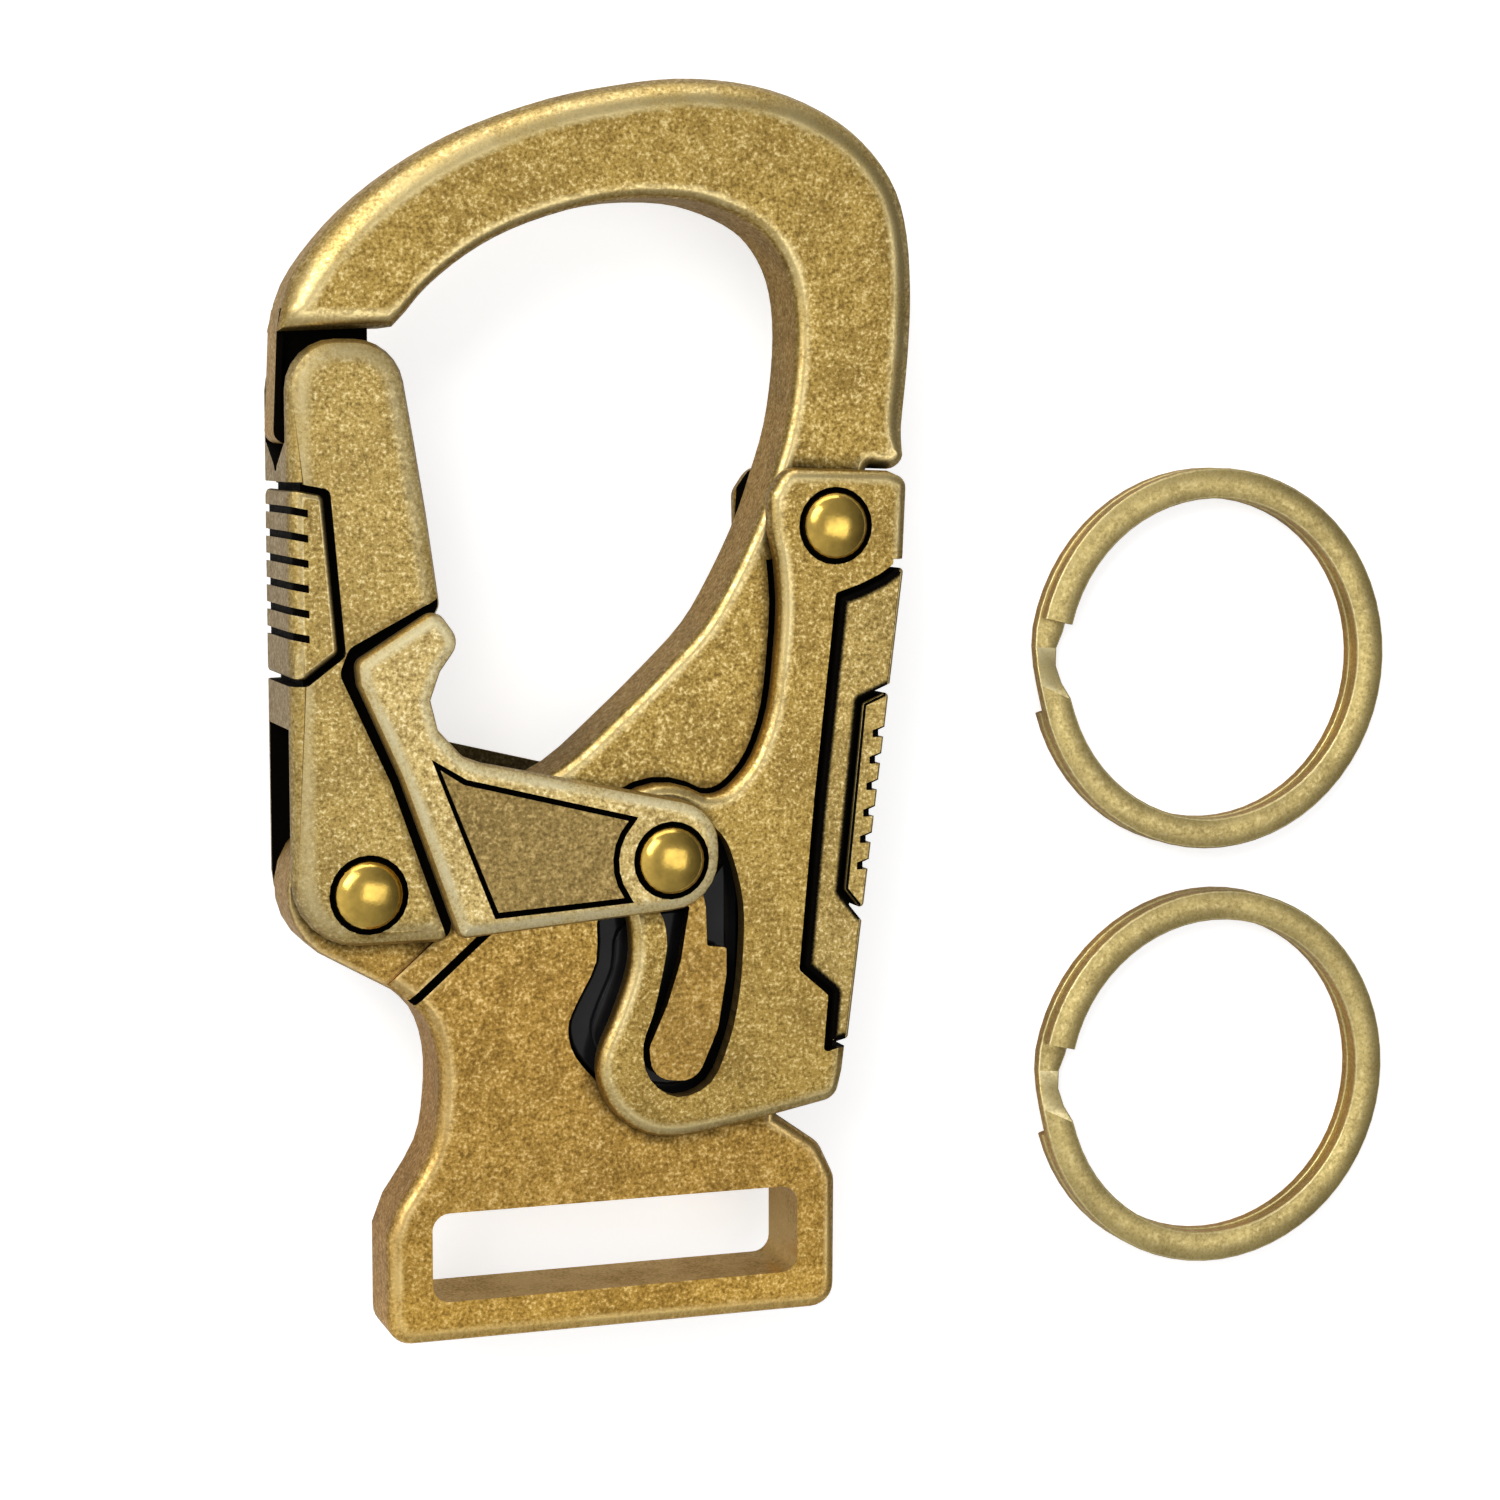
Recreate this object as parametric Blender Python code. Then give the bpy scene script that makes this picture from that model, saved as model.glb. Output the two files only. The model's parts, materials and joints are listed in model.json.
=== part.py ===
"""Carabiner keychain: a hook with a sprung gate, a palm trigger that works a lock lever, and two split rings.

The hook lies flat. X runs across it, Y runs from the webbing slot up to the top of the loop, and Z points out
of its front face. The origin is on the table under the middle of the whole layout. The gate, the trigger and
the lever straddle the body, so the back of each is the mirror of its front.
"""
import math

import bmesh
import bpy
from mathutils import Vector

# Body casting
BODY_WIDTH = 0.0443
BODY_HEIGHT = 0.0862
BODY_THICKNESS = 0.0062
BODY_EDGE = 0.0008
LOOP_OUTER_EDGE = 0.0019
LOOP_INNER_EDGE = 0.0007
INNER_LIP = 0.0003
WAIST_LIP = 0.0002
EAR_RADIUS = 0.0051
CLEARANCE = 0.0003
OVERRUN = 0.0020

# Places of the three rivets, in shares of the body's width and height
GATE_PIVOT_SHARE = (-0.370, 0.364)
LEVER_PIVOT_SHARE = (0.097, 0.383)
TRIGGER_PIVOT_SHARE = (0.379, 0.646)

# Outlines of the body, in shares of its width and height
LOOP_OUTER_SHARES = [
    (0.516, 0.717), (0.525, 0.754), (0.532, 0.796), (0.534, 0.836), (0.528, 0.880), (0.509, 0.916),
    (0.469, 0.946), (0.409, 0.971), (0.325, 0.990), (0.237, 0.999), (0.140, 1.000), (0.043, 0.993),
    (-0.061, 0.981), (-0.176, 0.960), (-0.269, 0.935), (-0.355, 0.903), (-0.419, 0.870), (-0.466, 0.835),
    (-0.485, 0.798),
]
LOOP_INNER_SHARES = [
    (-0.298, 0.816), (-0.264, 0.836), (-0.203, 0.861), (-0.133, 0.881), (-0.045, 0.897), (0.047, 0.907),
    (0.144, 0.908), (0.212, 0.900), (0.266, 0.887), (0.300, 0.870), (0.325, 0.845), (0.336, 0.812),
    (0.334, 0.771), (0.321, 0.726), (0.298, 0.687), (0.271, 0.648), (0.227, 0.602), (0.180, 0.563),
    (0.110, 0.526), (0.032, 0.489), (-0.052, 0.453), (-0.140, 0.433), (-0.226, 0.426),
]
WAIST_SHARES = [
    (-0.323, 0.286), (-0.273, 0.262), (-0.251, 0.229), (-0.251, 0.189), (-0.266, 0.150), (-0.317, 0.108),
]
NOSE_CORNER_SHARE = (-0.314, 0.802)
HIP_SHARES = [(0.300, 0.162), (0.371, 0.136), (0.398, 0.107)]
FOOT_LEFT_SHARE = -0.338
FOOT_RIGHT_SHARE = 0.397
FOOT_SHOULDER_SHARE = 0.086
FOOT_LOW_SHARE = -0.0025
FOOT_RADIUS = 0.0017
LOOP_HEEL_SHARE = (0.512, 0.688)
LOOP_HEEL_RADIUS = 0.0014
SPINE_TOP_SHARE = 0.694
WEBBING_LEFT_SHARE = -0.269
WEBBING_RIGHT_SHARE = 0.330
WEBBING_LOW_SHARE = 0.031
WEBBING_HIGH_SHARE = 0.103
WEBBING_RADIUS = 0.0012
WEBBING_EDGE = 0.0004

# Catch tongue that hangs from the nose
TONGUE_LEFT_SHARE = -0.492
TONGUE_THICKNESS = 0.0005
TONGUE_HALF_DEPTH = 0.0016
TONGUE_ROOT = 0.0015
CATCH_RADIUS = 0.00085
CATCH_HEIGHT_SHARE = 0.722
NOSE_RIB_HALF_DEPTH = 0.0010
NOSE_RIB_RIGHT_SHARE = -0.345
NOSE_RIB_LOW_SHARE = 0.755

# Grooves and recess on the body's faces
GROOVE_WIDTH = 0.0006
GROOVE_DEPTH = 0.0006
HIP_GROOVE_SHARES = [(-0.304, 0.270), (-0.176, 0.328)]
EAR_STEP_SHARES = [(-0.345, 0.284), (-0.237, 0.333)]
EAR_RECESS_SHARES = [(-0.237, 0.430), (-0.560, 0.430), (-0.560, 0.284)]
EAR_RECESS_DEPTH = 0.0004
EAR_BOSS_RADIUS = 0.0034
EAR_RECESS_RADIUS = 0.0003

# Gate
GATE_WALL = 0.0013
GATE_SPINE = 0.0013
GATE_EDGE = 0.0010
GATE_LEFT_SHARE = -0.483
GATE_TOP_SHARE = 0.792
GATE_BOTTOM_SHARE = 0.323
GATE_RIGHT_SHARES = [
    (-0.237, 0.441), (-0.300, 0.505), (-0.300, 0.539), (-0.252, 0.587), (-0.272, 0.660), (-0.290, 0.717),
]
GATE_SHOULDER_SHARE = -0.315
GATE_FOOT_SHARE = -0.237
GATE_TOP_ROUND_SHARE = 0.45
GATE_HEEL_ROUND_SHARE = 0.41
GATE_CORNER_RADIUS = 0.0011
GATE_SPINE_TOP_SHARE = 0.713
GATE_SPINE_BOTTOM_SHARE = 0.493
KEYHOLE_HALF_WIDTH = 0.0032
KEYHOLE_ROOT = 0.0006
KEYHOLE_DEPTH = 0.0019
LEVER_GROOVE_SHARES = [(-0.240, 0.592), (-0.388, 0.552), (-0.400, 0.536), (-0.325, 0.452), (-0.236, 0.322)]
LEVER_GROOVE_WIDTH = 0.0009
LEVER_GROOVE_DEPTH = 0.0006
LEVER_GROOVE_BEND = 0.0006

# Ribbed thumb pad let into the gate's spine
THUMB_PAD_SHARES = [(-0.411, 0.552), (-0.431, 0.673), (-0.483, 0.678), (-0.483, 0.532), (-0.462, 0.532)]
THUMB_PAD_RADIUS = 0.0005
THUMB_PAD_WALL = 0.0005
THUMB_PAD_BACK = 0.0006
THUMB_PAD_EDGE = 0.0004
THUMB_RIB_FIRST_SHARE = 0.662
THUMB_RIB_LAST_SHARE = 0.566
THUMB_RIB_END_SHARE = -0.455
THUMB_GROOVES = 6
THUMB_GROOVE_WIDTH = 0.0005
THUMB_GROOVE_DEPTH = 0.00025
THUMB_GROOVE_SLOPE = 0.2
HAIR = 0.00002
INLAY_GAP = 0.00045

# Lock lever
LEVER_THICKNESS = 0.0013
LEVER_END_RADIUS = 0.00355
LEVER_EDGE = 0.0006
LEVER_TOP_SHARES = [
    (0.177, 0.424), (-0.199, 0.465), (-0.230, 0.471), (-0.267, 0.492), (-0.278, 0.515), (-0.263, 0.537), (-0.231, 0.560),
    (-0.268, 0.586), (-0.392, 0.546), (-0.388, 0.528), (-0.325, 0.455), (-0.237, 0.328),
]
LEVER_TOP_RADII = [0.0033, 0.0, 0.0008, 0.0, 0.0, 0.0, 0.0013, 0.0009, 0.0008, 0.0008, 0.0, 0.0007]
LEVER_BACK_RISE = 0.0005
LEVER_RISING_POINTS = 3
LEVER_END_START_ANGLE = math.radians(-88)
LEVER_END_STOP_ANGLE = math.radians(0)
PANEL_SHARES = [(-0.230, 0.449), (-0.266, 0.461), (-0.178, 0.348)]
PANEL_RING_RADIUS = 0.00415
PANEL_ARC_START_ANGLE = math.radians(216)
PANEL_ARC_STOP_ANGLE = math.radians(137)
PANEL_THICKNESS = 0.0004
PANEL_SINK = 0.0001
PANEL_GAP = 0.0004

# Tail of the lever, which the slot in the trigger pushes
TAIL_SHARES = [
    (0.140, 0.341), (0.126, 0.298), (0.104, 0.263), (0.074, 0.229), (0.079, 0.203), (0.151, 0.199),
    (0.187, 0.241), (0.201, 0.285), (0.201, 0.307), (0.169, 0.309), (0.167, 0.341),
]
TAIL_RADII = [0.0, 0.002, 0.002, 0.001, 0.0016, 0.0016, 0.003, 0.001, 0.0002, 0.0002, 0.0]
TAIL_THICKNESS = 0.0009
TAIL_EYE_RADIUS = 0.0025
TAIL_EYE_START_ANGLE = math.radians(-15)
TAIL_EYE_STOP_ANGLE = math.radians(292)

# Palm trigger
TRIGGER_WALL = 0.0013
TRIGGER_SPINE = 0.0019
TRIGGER_EDGE = 0.0007
TRIGGER_TRAVEL = math.radians(2.6)
TRIGGER_BACK_TOP_SHARE = (0.498, 0.622)
TRIGGER_BACK_LOW_SHARE = (0.397, 0.200)
TRIGGER_CREST_SHARES = [(0.503, 0.683), (0.470, 0.690), (0.300, 0.693), (0.272, 0.672), (0.273, 0.645)]
TRIGGER_CREST_RADII = [0.0009, 0.0, 0.0016, 0.0012, 0.0]
TRIGGER_FRONT_SHARES = [
    (0.284, 0.619), (0.289, 0.586), (0.285, 0.547), (0.274, 0.500), (0.248, 0.462), (0.214, 0.440),
    (0.187, 0.432), (0.163, 0.432),
]
TRIGGER_BOSS_RADIUS = 0.0051
TRIGGER_BOSS_START_ANGLE = math.radians(68)
TRIGGER_BOSS_STOP_ANGLE = math.radians(205)
TRIGGER_LOBE_SHARES = [
    (0.030, 0.352), (0.043, 0.329), (0.043, 0.297), (0.018, 0.258), (-0.006, 0.229), (-0.008, 0.205),
    (0.017, 0.178),
    (0.068, 0.159), (0.135, 0.155), (0.255, 0.164),
]
TRIGGER_TOE_SHARE = (0.386, 0.177)
TRIGGER_TOE_RADIUS = 0.0013
SLOT_SHARES = [
    (0.117, 0.188), (0.172, 0.198), (0.203, 0.231), (0.219, 0.267), (0.226, 0.306), (0.226, 0.343),
    (0.210, 0.379), (0.190, 0.400), (0.147, 0.417), (0.097, 0.419), (0.050, 0.409), (0.031, 0.383),
    (0.044, 0.358), (0.088, 0.340), (0.100, 0.318), (0.096, 0.297), (0.079, 0.259), (0.061, 0.231),
    (0.072, 0.204),
]
SEAM_OFFSET = 0.0001
SEAM_WIDTH = 0.0005
SEAM_STOP_ANGLE = math.radians(150)

# Inlaid strip and serrated pad on the trigger's back edge
STRIP_SHARES = [
    (0.402, 0.227), (0.372, 0.223), (0.379, 0.266), (0.330, 0.288), (0.354, 0.425), (0.389, 0.588),
    (0.424, 0.594), (0.458, 0.602), (0.497, 0.615),
]
GRIP_SHARES = [(0.430, 0.330), (0.396, 0.350), (0.417, 0.456), (0.426, 0.502), (0.474, 0.512)]
INLAY_RADIUS = 0.0003
INLAY_EDGE = 0.00025
INLAY_WALL = 0.0004
INLAY_BACK = 0.0006
TOOTH_FIRST_SHARE = 0.474
TOOTH_LAST_SHARE = 0.366
TEETH = 6
TOOTH_DEPTH = 0.0004
TOOTH_MARK = 0.0009
TOOTH_MARK_SINK = 0.0002
TOOTH_HEIGHT = 0.0010

# Black insert in the body's window
WINDOW_SHARES = [
    (0.060, 0.343), (0.002, 0.340), (-0.004, 0.299), (-0.036, 0.266), (-0.050, 0.246), (-0.038, 0.222),
    (0.010, 0.195), (0.060, 0.178), (0.120, 0.174), (0.181, 0.181), (0.220, 0.215), (0.236, 0.262),
    (0.241, 0.330), (0.235, 0.392), (0.205, 0.398), (0.178, 0.385), (0.165, 0.355), (0.120, 0.343),
]
HOUSING_DEPTH = 0.0046
FIELD_SHARES = [
    (0.034, 0.322), (0.025, 0.292), (0.002, 0.264), (-0.010, 0.244), (0.000, 0.225), (0.036, 0.208),
    (0.080, 0.197), (0.130, 0.194), (0.172, 0.204), (0.200, 0.235), (0.212, 0.280), (0.206, 0.330),
    (0.150, 0.336), (0.085, 0.334),
]
FIELD_HEIGHT = 0.0004
HOUSING_EDGE = 0.0002
STOP_SHARES = [(0.206, 0.310), (0.206, 0.372), (0.170, 0.350), (0.172, 0.312)]
STOP_SINK = 0.0001

# Rivets
SHANK_RADIUS = 0.0014
HEAD_RADIUS = 0.00235
HEAD_HEIGHT = 0.0012
HEAD_RIM = 0.0003
SINK_DEPTH = 0.0006
SINK_RADIUS = 0.0027
RIVET_SIDES = 24
DOME_STEPS = 5

# Torsion spring round the gate rivet
GATE_WIRE = 0.0006
GATE_COIL_RADIUS = 0.0023
GATE_COIL_PITCH = 0.0011
GATE_COIL_TURNS = 2
GATE_COIL_POINTS = 10
GATE_LEG = 0.0132
GATE_LEG_REST = 0.0014
GATE_LEG_SLANT = 0.0006
POCKET_RADIUS = 0.0030
POCKET_DEPTH = 0.0038
LEG_SLOT_WIDTH = 0.0013

# Compression spring behind the trigger
TRIGGER_WIRE = 0.0004
TRIGGER_COIL_RADIUS = 0.0010
TRIGGER_COIL_TURNS = 4
TRIGGER_COIL_POINTS = 10
TRIGGER_SPRING_SHARE = 0.343
BORE_RADIUS = 0.0016
BORE_DEPTH = 0.0030

# Key rings
RING_OUTER_RADIUS = 0.0145
RING_BAND = 0.0023
RING_TURN = 0.0009
RING_TURN_GAP = 0.00045
RING_CORNER = 0.00015
RING_STEPS = 60
RING_JOG = math.radians(24)
RING_END_GAP = math.radians(2.5)
RING_JOG_WAIST = 0.70
RING_ASIDE = 0.01336
RING_SPREAD = 0.00325
RING_MIDDLE_SHARE = 0.3344
RING_LEAN = 0.00027
RING_ANGLE = math.radians(181)

ARC_STEP = math.radians(15)
FOLD_SHARE = 0.98
SPLINE_STEPS = 3
EDGE_STEPS = 2
BLEND_ROUNDS = 3
SHARP = math.radians(35)

# Layers through the stack, all measured from the body's middle plane
BODY_HALF = BODY_THICKNESS / 2
PLATE_INNER = BODY_HALF + CLEARANCE
GATE_OUTER = PLATE_INNER + GATE_WALL
TRIGGER_OUTER = PLATE_INNER + TRIGGER_WALL
LEVER_INNER = max(GATE_OUTER, TRIGGER_OUTER) + CLEARANCE
LEVER_OUTER = LEVER_INNER + LEVER_THICKNESS
RIVET_TOP = LEVER_OUTER - SINK_DEPTH + CLEARANCE + HEAD_HEIGHT
HOUSING_HALF = HOUSING_DEPTH / 2
PAST_ALL = RIVET_TOP + OVERRUN

BRASS = (0.46, 0.33, 0.13)
BRASS_PALE = (0.52, 0.40, 0.18)
BRASS_DARK = (0.36, 0.25, 0.09)
RIVET_GOLD = (0.58, 0.40, 0.12)
STEEL = (0.50, 0.49, 0.46)
BLACK = (0.012, 0.012, 0.013)


def place(share):
    """Point on the face for a share of the body's width and height."""
    return Vector((share[0] * BODY_WIDTH, share[1] * BODY_HEIGHT))


def places(shares):
    return [place(share) for share in shares]


GATE_PIVOT = place(GATE_PIVOT_SHARE)
LEVER_PIVOT = place(LEVER_PIVOT_SHARE)
TRIGGER_PIVOT = place(TRIGGER_PIVOT_SHARE)


def arc(centre, radius, start, stop):
    """Points round a centre from one angle to another, both ends included."""
    count = max(2, math.ceil(abs(stop - start) / ARC_STEP))
    angles = [start + (stop - start) * i / count for i in range(count + 1)]
    return [centre + Vector((math.cos(a), math.sin(a))) * radius for a in angles]


def circle(centre, radius, sides=RIVET_SIDES):
    angles = [math.tau * i / sides for i in range(sides)]
    return [centre + Vector((math.cos(a), math.sin(a))) * radius for a in angles]


def spline(points, closed=False):
    """Smooth curve through every point (Catmull-Rom)."""
    count = len(points)
    curve = []
    for i in range(count if closed else count - 1):
        if closed:
            a, b, c, d = (points[(i + k) % count] for k in (-1, 0, 1, 2))
        else:
            a, b, c, d = (points[min(max(i + k, 0), count - 1)] for k in (-1, 0, 1, 2))
        for step in range(SPLINE_STEPS):
            t = step / SPLINE_STEPS
            curve.append(
                0.5 * (2 * b + (c - a) * t + (2 * a - 5 * b + 4 * c - d) * t**2 + (3 * b - a - 3 * c + d) * t**3)
            )
    return curve if closed else curve + [points[-1]]


def rounded(points, radii):
    """Outline with an arc of the given radius at each corner, and the corner itself where the radius is 0."""
    if not isinstance(radii, (list, tuple)):
        radii = [radii] * len(points)
    outline = []
    for i, corner in enumerate(points):
        before = (points[i - 1] - corner).normalized()
        after = (points[(i + 1) % len(points)] - corner).normalized()
        half = before.angle(after) / 2
        if radii[i] == 0 or half > math.radians(88):
            outline.append(corner)
            continue
        reach = radii[i] / math.tan(half)
        centre = corner + (before + after).normalized() * (radii[i] / math.sin(half))
        start = corner + before * reach - centre
        stop = corner + after * reach - centre
        first = math.atan2(start.y, start.x)
        turn = (math.atan2(stop.y, stop.x) - first + math.pi) % math.tau - math.pi
        outline += arc(centre, radii[i], first, first + turn)
    return outline


def area(points):
    return sum(a.x * b.y - b.x * a.y for a, b in zip(points, points[1:] + points[:1])) / 2


def shifted(points, distance):
    """Outline moved outwards by one distance or by one for each point; a negative one moves inwards."""
    side = math.copysign(1, area(points))
    distances = distance if isinstance(distance, list) else [distance] * len(points)
    moved = []
    for i, point in enumerate(points):
        before = (point - points[i - 1]).normalized()
        after = (points[(i + 1) % len(points)] - point).normalized()
        normal = Vector((before.y + after.y, -before.x - after.x)).normalized() * side
        lean = max(0.4, normal.dot(Vector((after.y, -after.x)) * side))
        moved.append(point + normal * (distances[i] / lean))
    return moved


def distance_to(point, outline):
    """Distance from a point to the nearest side of an outline."""
    nearest = math.inf
    for a, b in zip(outline, outline[1:] + outline[:1]):
        along = b - a
        if along.length == 0:
            continue
        t = min(max((point - a).dot(along) / along.length_squared, 0), 1)
        nearest = min(nearest, (point - a - along * t).length)
    return nearest


def grown(points, distance):
    """Outline moved outwards or inwards, without the points that would fold over at a tight bend."""
    return [p for p in shifted(points, distance) if distance_to(p, points) > abs(distance) * FOLD_SHARE]


def ribbon(points, width):
    """Outline of a band that follows an open path."""
    sides = ([], [])
    for i, point in enumerate(points):
        before = (point - points[max(i - 1, 0)]).normalized()
        after = (points[min(i + 1, len(points) - 1)] - point).normalized()
        along = (before + after).normalized()
        across = Vector((-along.y, along.x))
        lean = max(abs(across.dot(Vector((-after.y, after.x)))), abs(across.dot(Vector((-before.y, before.x)))))
        reach = width / 2 / max(lean, 0.5)
        sides[0].append(point + across * reach)
        sides[1].append(point - across * reach)
    return sides[0] + sides[1][::-1]


def material(name, colour, roughness, metallic):
    made = bpy.data.materials.new(name)
    made.use_nodes = True
    shader = made.node_tree.nodes["Principled BSDF"]
    shader.inputs["Base Color"].default_value = (*colour, 1)
    shader.inputs["Roughness"].default_value = roughness
    shader.inputs["Metallic"].default_value = metallic
    return made


def add_object(name, mesh, look=None):
    made = bpy.data.objects.new(name, mesh)
    bpy.context.collection.objects.link(made)
    if look:
        made.data.materials.append(material(name, *look))
        mesh.shade_smooth()
        mesh.set_sharp_from_angle(angle=SHARP)
    else:
        made.hide_render = True
        made.display_type = "WIRE"
    return made


def levels_of(low, high, low_edge, high_edge):
    """For each ring of a prism: how far in it lies and how far from which face, as shares of the rim's radius."""
    rings = []
    for i in range(EDGE_STEPS + 1 if low_edge else 1):
        turn = math.pi / 2 * i / EDGE_STEPS
        rings.append((low_edge * (1 - math.sin(turn)), low, low_edge * (1 - math.cos(turn))))
    for i in range(EDGE_STEPS + 1 if high_edge else 1):
        turn = math.pi / 2 * i / EDGE_STEPS
        rings.append((high_edge * (1 - math.cos(turn)), high, -high_edge * (1 - math.sin(turn))))
    return rings


def prism(name, outline, low, high, low_edge=0, high_edge=0, look=None, scales=None):
    """Flat piece: an outline carried from one height to another, with rounded rims.

    The scales, one for each point, make the rims' radius differ along the outline.
    """
    scales = scales or [1] * len(outline)
    forwards = area(outline) > 0
    points = outline if forwards else outline[::-1]
    scales = scales if forwards else scales[::-1]
    mesh = bpy.data.meshes.new(name)
    form = bmesh.new()
    rings = []
    for inset, face, lift in levels_of(low, high, low_edge, high_edge):
        loop = shifted(points, [-inset * scale for scale in scales])
        rings.append([form.verts.new((p.x, p.y, face + lift * scale)) for p, scale in zip(loop, scales)])
    for lower, upper in zip(rings, rings[1:]):
        for i in range(len(points)):
            j = (i + 1) % len(points)
            form.faces.new((lower[i], lower[j], upper[j], upper[i]))
    form.faces.new(rings[0][::-1])
    form.faces.new(rings[-1])
    form.to_mesh(mesh)
    form.free()
    return add_object(name, mesh, look)


def turned(name, profile, centre, look=None, sides=RIVET_SIDES):
    """Round piece: a profile of (radius, height) points turned about an upright axis."""
    mesh = bpy.data.meshes.new(name)
    form = bmesh.new()
    rings = []
    for radius, height in profile:
        if radius == 0:
            rings.append([form.verts.new((centre.x, centre.y, height))])
        else:
            rings.append([form.verts.new((p.x, p.y, height)) for p in circle(centre, radius, sides)])
    for lower, upper in zip(rings, rings[1:]):
        for i in range(sides):
            j = (i + 1) % sides
            corners = [lower[i % len(lower)], lower[j % len(lower)], upper[j % len(upper)], upper[i % len(upper)]]
            form.faces.new(list(dict.fromkeys(corners)))
    form.to_mesh(mesh)
    form.free()
    return add_object(name, mesh, look)


def boolean(target, cutter, operation="DIFFERENCE"):
    step = target.modifiers.new(cutter.name, "BOOLEAN")
    step.operation = operation
    step.solver = "EXACT"
    step.object = cutter


def cut(target, name, outline, low, high):
    boolean(target, prism(f"{target.name}_{name}", outline, low, high))


def cut_both_faces(target, name, outline, floor):
    """Cut from each face of a piece down to a floor, measured from the middle plane."""
    cut(target, f"{name}_front", outline, floor, PAST_ALL)
    cut(target, f"{name}_back", outline, -PAST_ALL, -floor)


def drill(target, name, centre, radius):
    cut(target, name, circle(centre, radius), -PAST_ALL, PAST_ALL)


def sink_rivet(target, centre, outer):
    """Hole for a rivet's shank and, at each face, the round sink that its head sits in."""
    drill(target, "rivet_hole", centre, SHANK_RADIUS + CLEARANCE)
    cut_both_faces(target, "rivet_sink", circle(centre, SINK_RADIUS), outer - SINK_DEPTH)


def back_edge(height):
    """Distance across to the trigger's back edge at a height up the body."""
    top = place(TRIGGER_BACK_TOP_SHARE)
    low = place(TRIGGER_BACK_LOW_SHARE)
    if height >= top.y:
        return top.x
    return low.x + (top.x - low.x) * (height - low.y) / (top.y - low.y)


def behind_back_edge(heights, inset):
    """Line that follows the trigger's back edge, moved in by an inset."""
    return [Vector((back_edge(height) - inset, height)) for height in heights]


def body_spine():
    """Hidden right edge of the body, clear of the trigger when it is squeezed."""
    foot = place(HIP_SHARES[0])
    top = SPINE_TOP_SHARE * BODY_HEIGHT
    bend = place(TRIGGER_BACK_TOP_SHARE).y
    edge = []
    for height in (foot.y + FOOT_RADIUS, bend, top):
        travel = max(0, TRIGGER_PIVOT.y - height) * math.tan(TRIGGER_TRAVEL)
        edge.append(Vector((back_edge(height) - TRIGGER_SPINE - CLEARANCE - travel, height)))
    return edge


def even(scales):
    """Blend the steps in a closed list of values, so that a rim's radius changes gradually."""
    for _ in range(BLEND_ROUNDS):
        count = len(scales)
        scales = [(scales[i - 1] + 2 * scales[i] + scales[(i + 1) % count]) / 4 for i in range(count)]
    return scales


def body_outline():
    """Outline of the body and the scale of the rim's radius at each of its points."""
    foot_left = FOOT_LEFT_SHARE * BODY_WIDTH
    foot_right = FOOT_RIGHT_SHARE * BODY_WIDTH
    shoulder = FOOT_SHOULDER_SHARE * BODY_HEIGHT
    sole = FOOT_LOW_SHARE * BODY_HEIGHT
    heel = [place(LOOP_HEEL_SHARE)]
    foot = rounded(
        [Vector((foot_left, shoulder)), Vector((foot_left, sole)), Vector((foot_right, sole)), *places(HIP_SHARES[::-1])],
        [0, FOOT_RADIUS, FOOT_RADIUS, FOOT_RADIUS, FOOT_RADIUS, 0],
    )
    limb = rounded(
        [*body_spine(), *heel, place(LOOP_OUTER_SHARES[0])],
        [0, 0, CLEARANCE, LOOP_HEEL_RADIUS, 0],
    )
    ear = arc(GATE_PIVOT, EAR_RADIUS, math.radians(88), math.radians(248))
    outer = spline(places(LOOP_OUTER_SHARES))
    # The point before the nose lies too near it for the wide rim to turn the corner.
    nose = [outer[-1], place(NOSE_CORNER_SHARE)]
    runs = [
        (foot + limb[:-1], BODY_EDGE),
        (outer[:-2], LOOP_OUTER_EDGE),
        (nose + moved_left(spline(places(LOOP_INNER_SHARES)), INNER_LIP), LOOP_INNER_EDGE),
        (ear, BODY_EDGE),
        (moved_left(spline(places(WAIST_SHARES)), WAIST_LIP), BODY_EDGE),
    ]
    outline = [point for run, edge in runs for point in run]
    scales = [edge / BODY_EDGE for run, edge in runs for point in run]
    return outline, even(scales)


def add_tongue(body):
    """Tongue that hangs from the nose and ends in a round catch, and the rib that stiffens it inside the gate."""
    nose = place(LOOP_OUTER_SHARES[-1])
    edge = TONGUE_LEFT_SHARE * BODY_WIDTH
    catch = Vector((edge + CATCH_RADIUS, CATCH_HEIGHT_SHARE * BODY_HEIGHT))
    inner = nose.x + TONGUE_THICKNESS
    drop = nose.y + TONGUE_ROOT
    outline = [
        Vector((inner, drop)),
        Vector((nose.x + TONGUE_THICKNESS / 2, drop)),
        nose.copy(),
        *arc(catch, CATCH_RADIUS, math.radians(180), math.radians(450)),
        Vector((edge + TONGUE_THICKNESS, catch.y + CATCH_RADIUS)),
    ]
    tongue = prism("tongue", outline, -TONGUE_HALF_DEPTH, TONGUE_HALF_DEPTH)
    boolean(body, tongue, "UNION")
    right = NOSE_RIB_RIGHT_SHARE * BODY_WIDTH
    low = NOSE_RIB_LOW_SHARE * BODY_HEIGHT
    left = nose.x + TONGUE_THICKNESS / 2
    rib = [Vector((left, low)), Vector((right, low)), Vector((right, drop)), Vector((left, drop))]
    boolean(body, prism("nose_rib", rib, -NOSE_RIB_HALF_DEPTH, NOSE_RIB_HALF_DEPTH), "UNION")


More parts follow.
